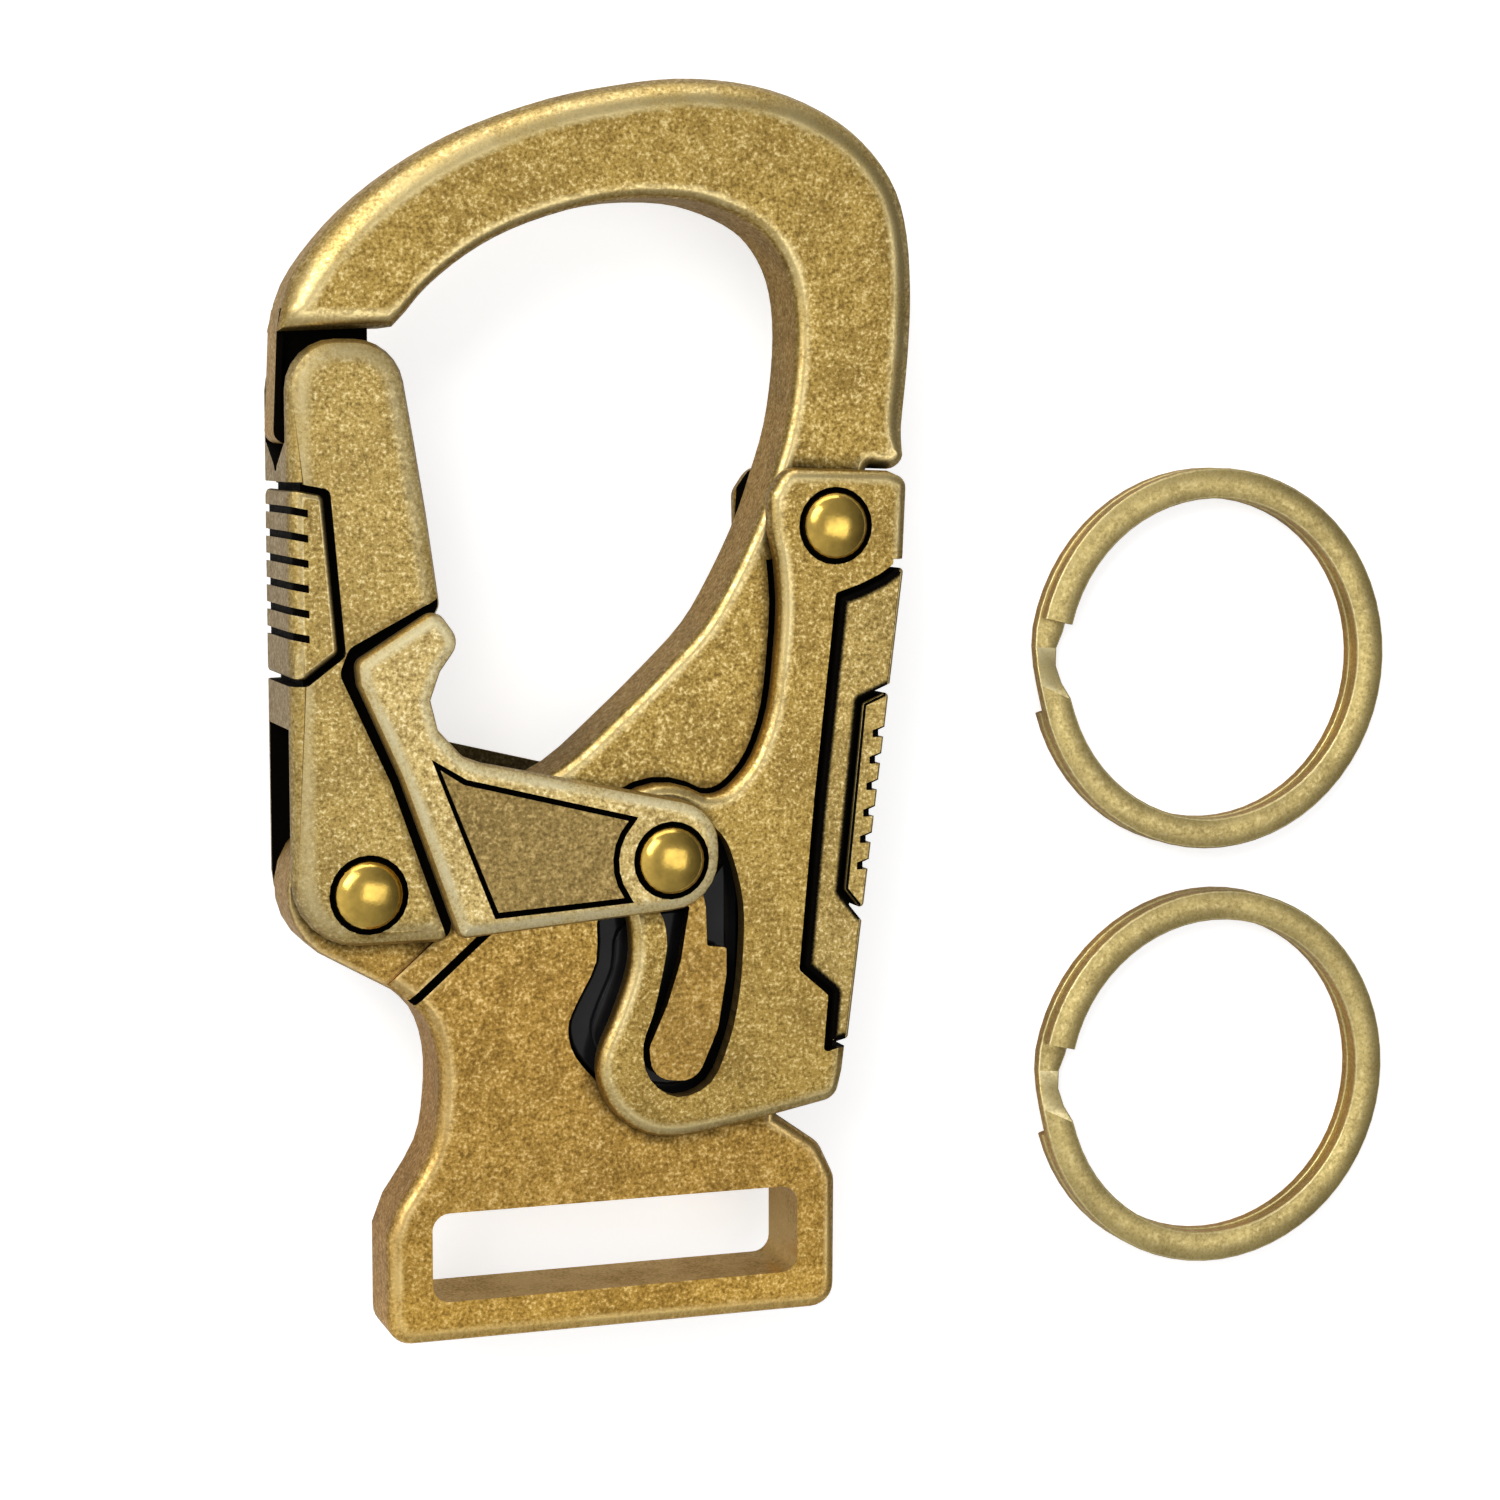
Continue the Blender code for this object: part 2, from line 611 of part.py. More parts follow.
def make_body():
    outline, scales = body_outline()
    body = prism(
        "hook_body", outline, -BODY_HALF, BODY_HALF, BODY_EDGE, BODY_EDGE, look=(BRASS, 0.42, 1.0), scales=scales
    )
    add_tongue(body)
    left, right = WEBBING_LEFT_SHARE * BODY_WIDTH, WEBBING_RIGHT_SHARE * BODY_WIDTH
    low, high = WEBBING_LOW_SHARE * BODY_HEIGHT, WEBBING_HIGH_SHARE * BODY_HEIGHT
    corners = [Vector((left, low)), Vector((right, low)), Vector((right, high)), Vector((left, high))]
    slot = rounded(corners, WEBBING_RADIUS)
    cut(body, "webbing_slot", slot, -PAST_ALL, PAST_ALL)
    cut(body, "window", spline(places(WINDOW_SHARES), closed=True), -PAST_ALL, PAST_ALL)
    for name, pivot in (("gate", GATE_PIVOT), ("lever", LEVER_PIVOT), ("trigger", TRIGGER_PIVOT)):
        drill(body, f"{name}_hole", pivot, SHANK_RADIUS + CLEARANCE)
    for side in (1, -1):
        name = "front" if side > 0 else "back"
        recess = prism(
            f"ear_recess_{name}",
            places(EAR_STEP_SHARES + EAR_RECESS_SHARES),
            *sorted((side * (BODY_HALF - EAR_RECESS_DEPTH), side * PAST_ALL)),
        )
        drill(recess, "boss", GATE_PIVOT, EAR_BOSS_RADIUS)
        boolean(body, recess)
    floor = BODY_HALF - GROOVE_DEPTH
    cut_both_faces(body, "hip_groove", ribbon(places(HIP_GROOVE_SHARES), GROOVE_WIDTH), floor)
    seam = spline(places(TRIGGER_FRONT_SHARES)) + arc(
        LEVER_PIVOT, TRIGGER_BOSS_RADIUS, TRIGGER_BOSS_START_ANGLE, SEAM_STOP_ANGLE
    )
    cut_both_faces(body, "seam", ribbon(moved_left(seam, SEAM_OFFSET), SEAM_WIDTH), floor)
    pocket_floor = BODY_HALF - POCKET_DEPTH
    cut(body, "spring_pocket", circle(GATE_PIVOT, POCKET_RADIUS), pocket_floor, PAST_ALL)
    across = GATE_COIL_RADIUS
    leg_top = GATE_PIVOT + Vector((-across - GATE_LEG_SLANT / 2, EAR_RADIUS + OVERRUN))
    leg_slot = ribbon([GATE_PIVOT + Vector((-across, 0)), leg_top], LEG_SLOT_WIDTH)
    cut(body, "leg_slot", leg_slot, BODY_HALF - POCKET_DEPTH / 2, PAST_ALL)
    rest = [GATE_PIVOT + Vector((across, 0)), GATE_PIVOT + Vector((across, POCKET_RADIUS + GATE_LEG_REST))]
    cut(body, "rest_slot", ribbon(rest, LEG_SLOT_WIDTH), pocket_floor, PAST_ALL)
    boolean(body, trigger_spring_bore())
    return body


def moved_left(points, distance):
    """Open path moved to its left-hand side, as one walks along it."""
    moved = []
    for i, point in enumerate(points):
        ahead = points[min(i + 1, len(points) - 1)] - points[max(i - 1, 0)]
        ahead.normalize()
        moved.append(point - Vector((-ahead.y, ahead.x)) * distance)
    return moved


def spring_seat():
    """Place of the trigger spring's outer end, on the inner face of the trigger's spine."""
    height = TRIGGER_SPRING_SHARE * BODY_HEIGHT
    return Vector((back_edge(height) - TRIGGER_SPINE, height))


def body_edge_at_spring():
    seat = spring_seat()
    return seat.x - CLEARANCE - (TRIGGER_PIVOT.y - seat.y) * math.tan(TRIGGER_TRAVEL)


def trigger_spring_bore():
    """Blind bore in the body's right edge, lying along X."""
    bore = turned("trigger_spring_bore", [(0, 0), (BORE_RADIUS, 0), (BORE_RADIUS, BORE_DEPTH + OVERRUN),
                                          (0, BORE_DEPTH + OVERRUN)], Vector((0, 0)), sides=16)
    bore.rotation_euler = (0, math.pi / 2, 0)
    bore.location = (body_edge_at_spring() - BORE_DEPTH, spring_seat().y, 0)
    return bore


def gate_outline():
    left = GATE_LEFT_SHARE * BODY_WIDTH
    top = GATE_TOP_SHARE * BODY_HEIGHT
    bottom = GATE_BOTTOM_SHARE * BODY_HEIGHT
    corners = [
        Vector((left, bottom)),
        Vector((GATE_FOOT_SHARE * BODY_WIDTH, bottom)),
        *places(GATE_RIGHT_SHARES),
        Vector((GATE_SHOULDER_SHARE * BODY_WIDTH, top)),
        Vector((left, top)),
    ]
    corner = GATE_CORNER_RADIUS
    head = GATE_TOP_ROUND_SHARE * (corners[-2].x - left)
    heel = GATE_HEEL_ROUND_SHARE * (corners[1].x - left)
    return rounded(corners, [heel, corner, corner, corner, corner, corner, 0, 0, head, head])


def keyhole():
    """Notch in the top of the gate's spine, under the catch: a profile in Z and Y, carried along X."""
    top = GATE_SPINE_TOP_SHARE * BODY_HEIGHT
    root = top - KEYHOLE_DEPTH
    outline = [
        Vector((-KEYHOLE_HALF_WIDTH, top + OVERRUN)),
        Vector((-KEYHOLE_HALF_WIDTH, top)),
        *arc(Vector((0, root + KEYHOLE_ROOT)), KEYHOLE_ROOT, math.radians(200), math.radians(340)),
        Vector((KEYHOLE_HALF_WIDTH, top)),
        Vector((KEYHOLE_HALF_WIDTH, top + OVERRUN)),
    ]
    left = GATE_LEFT_SHARE * BODY_WIDTH
    notch = prism("keyhole", outline, 0, GATE_SPINE + 2 * OVERRUN)
    notch.rotation_euler = (0, math.pi / 2, 0)
    notch.location = (left - OVERRUN, 0, 0)
    return notch


def make_gate():
    gate = prism(
        "gate_channel", gate_outline(), -GATE_OUTER, GATE_OUTER, GATE_EDGE, GATE_EDGE, look=(BRASS_PALE, 0.4, 1.0)
    )
    left = GATE_LEFT_SHARE * BODY_WIDTH
    inner = left + GATE_SPINE
    outside = left - OVERRUN
    right = GATE_FOOT_SHARE * BODY_WIDTH + OVERRUN
    spine_top = GATE_SPINE_TOP_SHARE * BODY_HEIGHT
    spine_bottom = GATE_SPINE_BOTTOM_SHARE * BODY_HEIGHT
    over = GATE_TOP_SHARE * BODY_HEIGHT + OVERRUN
    under = GATE_BOTTOM_SHARE * BODY_HEIGHT - OVERRUN
    cavity = [
        Vector((inner, spine_bottom)), Vector((outside, spine_bottom)), Vector((outside, under)),
        Vector((right, under)), Vector((right, over)), Vector((outside, over)),
        Vector((outside, spine_top)), Vector((inner, spine_top)),
    ]
    cut(gate, "channel", cavity, -PLATE_INNER, PLATE_INNER)
    boolean(gate, keyhole())
    sink_rivet(gate, GATE_PIVOT, GATE_OUTER)
    groove = rounded(places(LEVER_GROOVE_SHARES), [0, LEVER_GROOVE_BEND, LEVER_GROOVE_BEND, 0, 0])
    cut_both_faces(gate, "lever_groove", ribbon(groove, LEVER_GROOVE_WIDTH), GATE_OUTER - LEVER_GROOVE_DEPTH)
    pocket = rounded(shifted(places(THUMB_PAD_SHARES), INLAY_GAP), THUMB_PAD_RADIUS)
    floor = GATE_OUTER - THUMB_PAD_WALL - CLEARANCE
    cut_both_faces(gate, "pad_pocket", pocket, floor)
    heights = [p.y for p in pocket]
    backing = left + THUMB_PAD_BACK + CLEARANCE
    band = [
        Vector((outside, min(heights))), Vector((backing, min(heights))),
        Vector((backing, max(heights))), Vector((outside, max(heights))),
    ]
    cut(gate, "pad_back_pocket", band, -PAST_ALL, PAST_ALL)
    return gate


def thumb_pad_outline():
    return rounded(places(THUMB_PAD_SHARES), THUMB_PAD_RADIUS)


def across_grooves():
    """Sloping C-shaped grooves over the thumb pad, cut across its back, its round rims and both flanges."""
    left = GATE_LEFT_SHARE * BODY_WIDTH
    end = THUMB_RIB_END_SHARE * BODY_WIDTH
    face = GATE_OUTER - THUMB_GROOVE_DEPTH
    turn = arc(
        Vector((left + GATE_EDGE, GATE_OUTER - GATE_EDGE)), GATE_EDGE - THUMB_GROOVE_DEPTH,
        math.radians(180), math.radians(90),
    )
    front = [(p.x, p.y) for p in turn] + [(end, face), (end, PAST_ALL), (left - OVERRUN, PAST_ALL)]
    profile = [(x, -z) for x, z in reversed(front)] + front
    mesh = bpy.data.meshes.new("thumb_grooves")
    form = bmesh.new()
    first = THUMB_RIB_FIRST_SHARE * BODY_HEIGHT
    last = THUMB_RIB_LAST_SHARE * BODY_HEIGHT
    for i in range(THUMB_GROOVES):
        middle = first + (last - first) * i / (THUMB_GROOVES - 1)
        rings = []
        for height in (middle - THUMB_GROOVE_WIDTH / 2, middle + THUMB_GROOVE_WIDTH / 2):
            rings.append([form.verts.new((x, height - THUMB_GROOVE_SLOPE * (x - left), z)) for x, z in profile])
        for k in range(len(profile)):
            n = (k + 1) % len(profile)
            form.faces.new((rings[0][k], rings[1][k], rings[1][n], rings[0][n]))
        form.faces.new(rings[0])
        form.faces.new(rings[1][::-1])
    bmesh.ops.recalc_face_normals(form, faces=form.faces)
    form.to_mesh(mesh)
    form.free()
    return add_object("thumb_grooves", mesh)


def gate_envelope():
    """Block with the gate's round rims, a hair larger, that gives the pad's back the same rims."""
    left = GATE_LEFT_SHARE * BODY_WIDTH - HAIR
    right = GATE_FOOT_SHARE * BODY_WIDTH
    low = GATE_BOTTOM_SHARE * BODY_HEIGHT
    high = GATE_TOP_SHARE * BODY_HEIGHT
    corners = [Vector((left, low)), Vector((right, low)), Vector((right, high)), Vector((left, high))]
    reach = GATE_OUTER + HAIR
    return prism("gate_envelope", corners, -reach, reach, GATE_EDGE, GATE_EDGE)


def make_thumb_pad():
    outline = thumb_pad_outline()
    left = GATE_LEFT_SHARE * BODY_WIDTH
    edge = THUMB_PAD_EDGE
    pad = prism("gate_thumb_pad", outline, -GATE_OUTER, GATE_OUTER, edge, edge, look=(BRASS_PALE, 0.38, 1.0))
    boolean(pad, gate_envelope(), "INTERSECT")
    hollow = saddle_hollow(outline, left + THUMB_PAD_BACK)
    cut(pad, "hollow", hollow, -(GATE_OUTER - THUMB_PAD_WALL), GATE_OUTER - THUMB_PAD_WALL)
    boolean(pad, across_grooves())
    return pad


def saddle_hollow(outline, start):
    """Box that hollows a saddle-shaped inlay from its back wall to past its free edge."""
    far = max(p.x for p in outline) + OVERRUN
    low = min(p.y for p in outline) - OVERRUN
    high = max(p.y for p in outline) + OVERRUN
    return [Vector((start, low)), Vector((far, low)), Vector((far, high)), Vector((start, high))]


def lever_outline(rise=0):
    """Outline of a lever plate; the rise lifts the middle of its top edge, as on the back plate."""
    end = arc(LEVER_PIVOT, LEVER_END_RADIUS, LEVER_END_START_ANGLE, LEVER_END_STOP_ANGLE)
    points = places(LEVER_TOP_SHARES)
    for point in points[1:1 + LEVER_RISING_POINTS]:
        point.y += rise
    radii = [0] * len(end) + LEVER_TOP_RADII
    return rounded(end + points, radii)


def panel_outline():
    points = arc(LEVER_PIVOT, PANEL_RING_RADIUS, PANEL_ARC_START_ANGLE, PANEL_ARC_STOP_ANGLE)
    return points + places(PANEL_SHARES)


def make_lever(side, name):
    """One plate of the lever with its sunk panel: side is 1 in front and -1 behind."""
    inner, outer = side * LEVER_INNER, side * LEVER_OUTER
    edges = (0, LEVER_EDGE) if side > 0 else (LEVER_EDGE, 0)
    rise = 0 if side > 0 else LEVER_BACK_RISE
    plate = prism(
        f"lever_{name}", lever_outline(rise), *sorted((inner, outer)), *edges, look=(BRASS_PALE, 0.36, 1.0)
    )
    face = LEVER_OUTER - PANEL_SINK
    floor = face - PANEL_THICKNESS - CLEARANCE
    past = side * PAST_ALL
    drill(plate, "rivet_hole", LEVER_PIVOT, SHANK_RADIUS + CLEARANCE)
    sink = sorted((side * (LEVER_OUTER - SINK_DEPTH), past))
    cut(plate, "rivet_sink", circle(LEVER_PIVOT, SINK_RADIUS), *sink)
    cut(plate, "panel_pocket", grown(panel_outline(), PANEL_GAP), *sorted((side * floor, past)))
    panel = prism(
        f"lever_panel_{name}", panel_outline(), *sorted((side * face, side * (face - PANEL_THICKNESS))),
        look=(BRASS_DARK, 0.45, 1.0),
    )
    return [plate, panel]


def tail_outline():
    eye = arc(LEVER_PIVOT, TAIL_EYE_RADIUS, TAIL_EYE_START_ANGLE, TAIL_EYE_STOP_ANGLE)
    points = places(TAIL_SHARES)
    return rounded(eye + points, [0] * len(eye) + TAIL_RADII)


def make_tail(side, name):
    low, high = sorted((side * PLATE_INNER, side * (PLATE_INNER + TAIL_THICKNESS)))
    tail = prism(f"lock_tail_{name}", tail_outline(), low, high, look=(BRASS_DARK, 0.4, 1.0))
    drill(tail, "rivet_hole", LEVER_PIVOT, SHANK_RADIUS + CLEARANCE)
    return tail


def trigger_outline():
    toe = rounded(
        [place(TRIGGER_LOBE_SHARES[-1]), place(TRIGGER_TOE_SHARE), place(TRIGGER_BACK_LOW_SHARE),
         place(TRIGGER_BACK_TOP_SHARE), *places(TRIGGER_CREST_SHARES), place(TRIGGER_FRONT_SHARES[0])],
        [0, TRIGGER_TOE_RADIUS, TRIGGER_TOE_RADIUS, 0, *TRIGGER_CREST_RADII, 0],
    )
    boss = arc(LEVER_PIVOT, TRIGGER_BOSS_RADIUS, TRIGGER_BOSS_START_ANGLE, TRIGGER_BOSS_STOP_ANGLE)
    return toe[:-1] + spline(places(TRIGGER_FRONT_SHARES)) + boss + spline(places(TRIGGER_LOBE_SHARES))[:-1]


def back_inlay(shares, past=0, gap=0):
    """Outline whose first and last points lie on the trigger's back edge, or past it."""
    points = places(shares)
    for end, neighbour in ((points[0], points[1]), (points[-1], points[-2])):
        end.x = back_edge(end.y)
        end += (end - neighbour).normalized() * past
    return rounded(shifted(points, gap), INLAY_RADIUS)


def back_pocket(shares, inset):
    """Band along the trigger's back edge, over the height of an inlay and a thin gap."""
    outline = back_inlay(shares, 0, CLEARANCE)
    heights = [min(p.y for p in outline), max(p.y for p in outline)]
    inner = behind_back_edge(heights, inset)
    outer = behind_back_edge(heights, -OVERRUN)
    return inner + outer[::-1]


def inlay_seat(shares):
    """Outline of the pocket that an inlay sits in."""
    return back_inlay(shares, OVERRUN, INLAY_GAP)


def make_trigger():
    trigger = prism(
        "trigger_channel", trigger_outline(), -TRIGGER_OUTER, TRIGGER_OUTER, TRIGGER_EDGE, TRIGGER_EDGE,
        look=(BRASS, 0.4, 1.0),
    )
    low = place(TRIGGER_LOBE_SHARES[-2]).y - OVERRUN
    high = place(TRIGGER_CREST_SHARES[2]).y + OVERRUN
    far = -TRIGGER_BOSS_RADIUS - OVERRUN
    bend = place(TRIGGER_BACK_TOP_SHARE).y
    inner = behind_back_edge((low, bend, high), TRIGGER_SPINE)
    cut(trigger, "channel", inner + [Vector((far, high)), Vector((far, low))], -PLATE_INNER, PLATE_INNER)
    cut(trigger, "slot", spline(places(SLOT_SHARES), closed=True), -PAST_ALL, PAST_ALL)
    sink_rivet(trigger, TRIGGER_PIVOT, TRIGGER_OUTER)
    floor = TRIGGER_OUTER - INLAY_WALL - CLEARANCE
    cut_both_faces(trigger, "strip_pocket", inlay_seat(STRIP_SHARES), floor)
    band = back_pocket(STRIP_SHARES, INLAY_BACK + CLEARANCE)
    cut(trigger, "strip_back_pocket", band, -PAST_ALL, PAST_ALL)
    return trigger


def hollow_inlay(inlay, outline):
    """Leave only the back wall and the two flanges of an inlay."""
    heights = [min(p.y for p in outline) - OVERRUN, max(p.y for p in outline) + OVERRUN]
    wall = behind_back_edge(heights, INLAY_BACK)
    far = min(p.x for p in outline) - OVERRUN
    face = TRIGGER_OUTER - INLAY_WALL
    cut(inlay, "hollow", wall + [Vector((far, heights[1])), Vector((far, heights[0]))], -face, face)


def make_strip():
    outline = back_inlay(STRIP_SHARES)
    edge = INLAY_EDGE
    strip = prism("grip_strip", outline, -TRIGGER_OUTER, TRIGGER_OUTER, edge, edge, look=(BRASS_PALE, 0.36, 1.0))
    hollow_inlay(strip, outline)
    cut(strip, "grip_window", inlay_seat(GRIP_SHARES), -PAST_ALL, PAST_ALL)
    return strip


def tooth(root, depth):
    """One saw-tooth notch in the back edge, with its flat side at a height up the body."""
    inner = back_edge(root) - depth
    outer = back_edge(root) + OVERRUN
    top = root + TOOTH_HEIGHT / 2
    return [Vector((inner, root)), Vector((outer, root)), Vector((outer, top + TOOTH_HEIGHT)), Vector((inner, top))]


def make_grip():
    """Serrated pad: saw-tooth notches run through its back edge, with shallow marks before them on each face."""
    outline = back_inlay(GRIP_SHARES)
    edge = INLAY_EDGE
    grip = prism("grip_pad", outline, -TRIGGER_OUTER, TRIGGER_OUTER, edge, edge, look=(BRASS_PALE, 0.36, 1.0))
    hollow_inlay(grip, outline)
    first = TOOTH_FIRST_SHARE * BODY_HEIGHT
    last = TOOTH_LAST_SHARE * BODY_HEIGHT
    for i in range(TEETH):
        root = first + (last - first) * i / (TEETH - 1)
        cut(grip, f"notch_{i + 1}", tooth(root, TOOTH_DEPTH), -PAST_ALL, PAST_ALL)
        cut_both_faces(grip, f"mark_{i + 1}", tooth(root, TOOTH_MARK), TRIGGER_OUTER - TOOTH_MARK_SINK)
    return grip


def make_housing():
    """Black insert in the window, with a raised field on each face and a stop block by the slot."""
    window = grown(spline(places(WINDOW_SHARES), closed=True), -CLEARANCE)
    housing = prism(
        "spring_housing", window, -HOUSING_HALF, HOUSING_HALF, HOUSING_EDGE, HOUSING_EDGE, look=(BLACK, 0.12, 0.0)
    )
    top = HOUSING_HALF + FIELD_HEIGHT
    field = spline(places(FIELD_SHARES), closed=True)
    boolean(housing, prism("housing_field", field, -top, top, HOUSING_EDGE, HOUSING_EDGE), "UNION")
    reach = BODY_HALF - STOP_SINK
    boolean(housing, prism("housing_stop", places(STOP_SHARES), -reach, reach), "UNION")
    return housing


def make_rivet(name, centre, outer, sinks=True):
    """Rivet with a domed head at each end."""
    seat = outer - SINK_DEPTH + CLEARANCE if sinks else outer
    half = [(0, seat + HEAD_HEIGHT)]
    for i in range(1, DOME_STEPS + 1):
        turn = math.pi / 2 * i / DOME_STEPS
        half.append((HEAD_RADIUS * math.sin(turn), seat + HEAD_RIM + (HEAD_HEIGHT - HEAD_RIM) * math.cos(turn)))
    half += [(HEAD_RADIUS, seat), (SHANK_RADIUS, seat)]
    profile = [(radius, -height) for radius, height in half] + half[::-1]
    return turned(name, profile, centre, look=(RIVET_GOLD, 0.22, 1.0))


def wire_object(name, points, wire, look):
    """Round wire along a path, with closed ends."""
    curve = bpy.data.curves.new(name, "CURVE")
    curve.dimensions = "3D"
    curve.bevel_depth = wire / 2
    curve.bevel_resolution = 1
    curve.use_fill_caps = True
    line = curve.splines.new("POLY")
    line.points.add(len(points) - 1)
    for node, point in zip(line.points, points):
        node.co = (*point, 1)
    made = bpy.data.objects.new(name, curve)
    bpy.context.collection.objects.link(made)
    made.data.materials.append(material(name, *look))
    return made


def least_gap(points, wire, skip):
    """Least air between parts of a path that are not next to each other."""
    return min(
        (points[i] - points[j]).length - wire for i in range(len(points)) for j in range(i + skip, len(points))
    )


def make_gate_spring():
    """Torsion spring: one leg bears on the gate's spine, the other rests in a slot in the ear."""
    top = BODY_HALF - GATE_WIRE
    turns = GATE_COIL_TURNS + 0.5
    count = math.ceil(turns * GATE_COIL_POINTS)
    coil = []
    for i in range(count + 1):
        angle = math.pi - math.tau * turns * i / count
        height = top - GATE_COIL_PITCH * turns * i / count
        spot = GATE_PIVOT + Vector((math.cos(angle), math.sin(angle))) * GATE_COIL_RADIUS
        coil.append(Vector((spot.x, spot.y, height)))
    first, last = coil[0], coil[-1]
    spine = GATE_LEFT_SHARE * BODY_WIDTH + GATE_SPINE + CLEARANCE + GATE_WIRE / 2
    leg = [Vector((spine, first.y + GATE_LEG, top)), first + Vector((0, GATE_LEG / 6, 0))]
    rest = [last + Vector((0, POCKET_RADIUS + GATE_LEG_REST / 2, 0))]
    points = leg[:1] + [leg[1]] + coil + rest
    print(f"gate spring's least gap to itself: {least_gap(coil, GATE_WIRE, 7) * 1000:.2f} mm")
    return wire_object("gate_spring", points, GATE_WIRE, (STEEL, 0.3, 1.0))


def make_trigger_spring():
    """Compression spring from the bottom of its bore to the inner face of the trigger's spine."""
    seat = spring_seat()
    start = body_edge_at_spring() - BORE_DEPTH + CLEARANCE + TRIGGER_WIRE / 2
    stop = seat.x - CLEARANCE - TRIGGER_WIRE / 2
    count = TRIGGER_COIL_TURNS * TRIGGER_COIL_POINTS
    points = []
    for i in range(count + 1):
        angle = math.tau * i / TRIGGER_COIL_POINTS
        x = start + (stop - start) * i / count
        y = seat.y + TRIGGER_COIL_RADIUS * math.cos(angle)
        points.append(Vector((x, y, TRIGGER_COIL_RADIUS * math.sin(angle))))
    gap = least_gap(points, TRIGGER_WIRE, TRIGGER_COIL_POINTS // 2)
    print(f"trigger spring's least gap to itself: {gap * 1000:.2f} mm")
    return wire_object("trigger_spring", points, TRIGGER_WIRE, (STEEL, 0.3, 1.0))


def ring_section(width):
    """Flat wire section, in distance from the ring's mid radius and height, with cut corners."""
    w, h, c = width / 2, RING_TURN / 2, RING_CORNER
    return [(w - c, -h), (w, -h + c), (w, h - c), (w - c, h), (c - w, h), (-w, h - c), (-w, c - h), (c - w, -h)]


def make_ring(name, centre):
    """Split ring: two turns of flat wire, joined by a jog that is narrowed on its inner side."""
    total = 2 * math.tau - RING_JOG - 2 * RING_END_GAP
    lift = RING_TURN + RING_TURN_GAP
    mesh = bpy.data.meshes.new(name)
    form = bmesh.new()
    rings = []
    spine = []
    steps = 2 * RING_STEPS
    for i in range(steps + 1):
        turn = total * i / steps
        past_jog = (turn - total / 2) / RING_JOG + 0.5
        blend = min(max(past_jog, 0), 1)
        rise = lift * blend * blend * (3 - 2 * blend)
        waist = 1 - (1 - RING_JOG_WAIST) * math.sin(math.pi * blend)
        angle = RING_ANGLE + turn - total / 2
        radial = Vector((math.cos(angle), math.sin(angle)))
        middle = RING_OUTER_RADIUS - RING_BAND * waist / 2
        spine.append(Vector((*(radial * middle), rise)))
        ring = []
        for across, up in ring_section(RING_BAND * waist):
            spot = centre + radial * (middle + across)
            ring.append(form.verts.new((spot.x, spot.y, RING_TURN / 2 + rise + up)))
        rings.append(ring)
    for one, two in zip(rings, rings[1:]):
        for k in range(len(one)):
            n = (k + 1) % len(one)
            form.faces.new((one[k], one[n], two[n], two[k]))
    form.faces.new(rings[0][::-1])
    form.faces.new(rings[-1])
    bmesh.ops.recalc_face_normals(form, faces=form.faces)
    form.to_mesh(mesh)
    form.free()
    gap = least_gap(spine, RING_TURN, RING_STEPS // 2)
    print(f"{name}'s least gap to itself: {gap * 1000:.2f} mm")
    return add_object(name, mesh, look=(BRASS_PALE, 0.35, 1.0))


def ring_places():
    """Centres of the two rings, one above the other to the right of the hook."""
    across = max(LOOP_OUTER_SHARES)[0] * BODY_WIDTH + RING_ASIDE + RING_OUTER_RADIUS
    middle = Vector((across, RING_MIDDLE_SHARE * BODY_HEIGHT))
    apart = Vector((-RING_LEAN, RING_OUTER_RADIUS + RING_SPREAD / 2))
    return {"key_ring_upper": middle + apart, "key_ring_lower": middle - apart}


def layout_middle():
    """Middle of the layout: across from the catch to the rings, and up from its lowest point to the loop's top."""
    lower = ring_places()["key_ring_lower"]
    left = TONGUE_LEFT_SHARE * BODY_WIDTH
    bottom = min(FOOT_LOW_SHARE * BODY_HEIGHT, lower.y - RING_OUTER_RADIUS)
    return Vector(((left + lower.x + RING_OUTER_RADIUS) / 2, (bottom + BODY_HEIGHT) / 2))


def hang(pieces, name, pivot, carrier):
    """Parent the pieces of a moving body to an empty on its joint's axis."""
    axis = bpy.data.objects.new(name, None)
    bpy.context.collection.objects.link(axis)
    axis.parent = carrier
    axis.location = (pivot.x, pivot.y, 0)
    for piece in pieces:
        piece.parent = axis
        piece.location -= Vector((pivot.x, pivot.y, 0))
    return axis


def build():
    for old in list(bpy.data.objects):
        bpy.data.objects.remove(old)
    body = make_body()
    gate = [make_gate(), make_thumb_pad()]
    lever = [make_rivet("lever_rivet", LEVER_PIVOT, LEVER_OUTER)]
    for side, name in ((1, "front"), (-1, "back")):
        lever += make_lever(side, name)
        lever.append(make_tail(side, name))
    trigger = [make_trigger(), make_strip(), make_grip()]
    fixed = [
        body,
        make_housing(),
        make_rivet("gate_rivet", GATE_PIVOT, GATE_OUTER),
        make_rivet("trigger_rivet", TRIGGER_PIVOT, TRIGGER_OUTER),
        make_gate_spring(),
        make_trigger_spring(),
    ]
    middle = layout_middle()
    lift = bpy.data.objects.new("assembly", None)
    bpy.context.collection.objects.link(lift)
    lift.location = (-middle.x, -middle.y, RIVET_TOP)
    moving = gate + lever + trigger
    for made in list(bpy.data.objects):
        if made is not lift and made not in moving:
            made.parent = lift
    hang(gate, "gate_axis", GATE_PIVOT, lift)
    hang(lever, "lever_axis", LEVER_PIVOT, lift)
    hang(trigger, "trigger_axis", TRIGGER_PIVOT, lift)
    for name, centre in ring_places().items():
        make_ring(name, centre - middle)
    return fixed + moving


build()
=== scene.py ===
"""Carabiner keychain: antique brass castings, polished rivet domes, recesses black with patina and painted
shade, and studio light.
"""
import json
import math

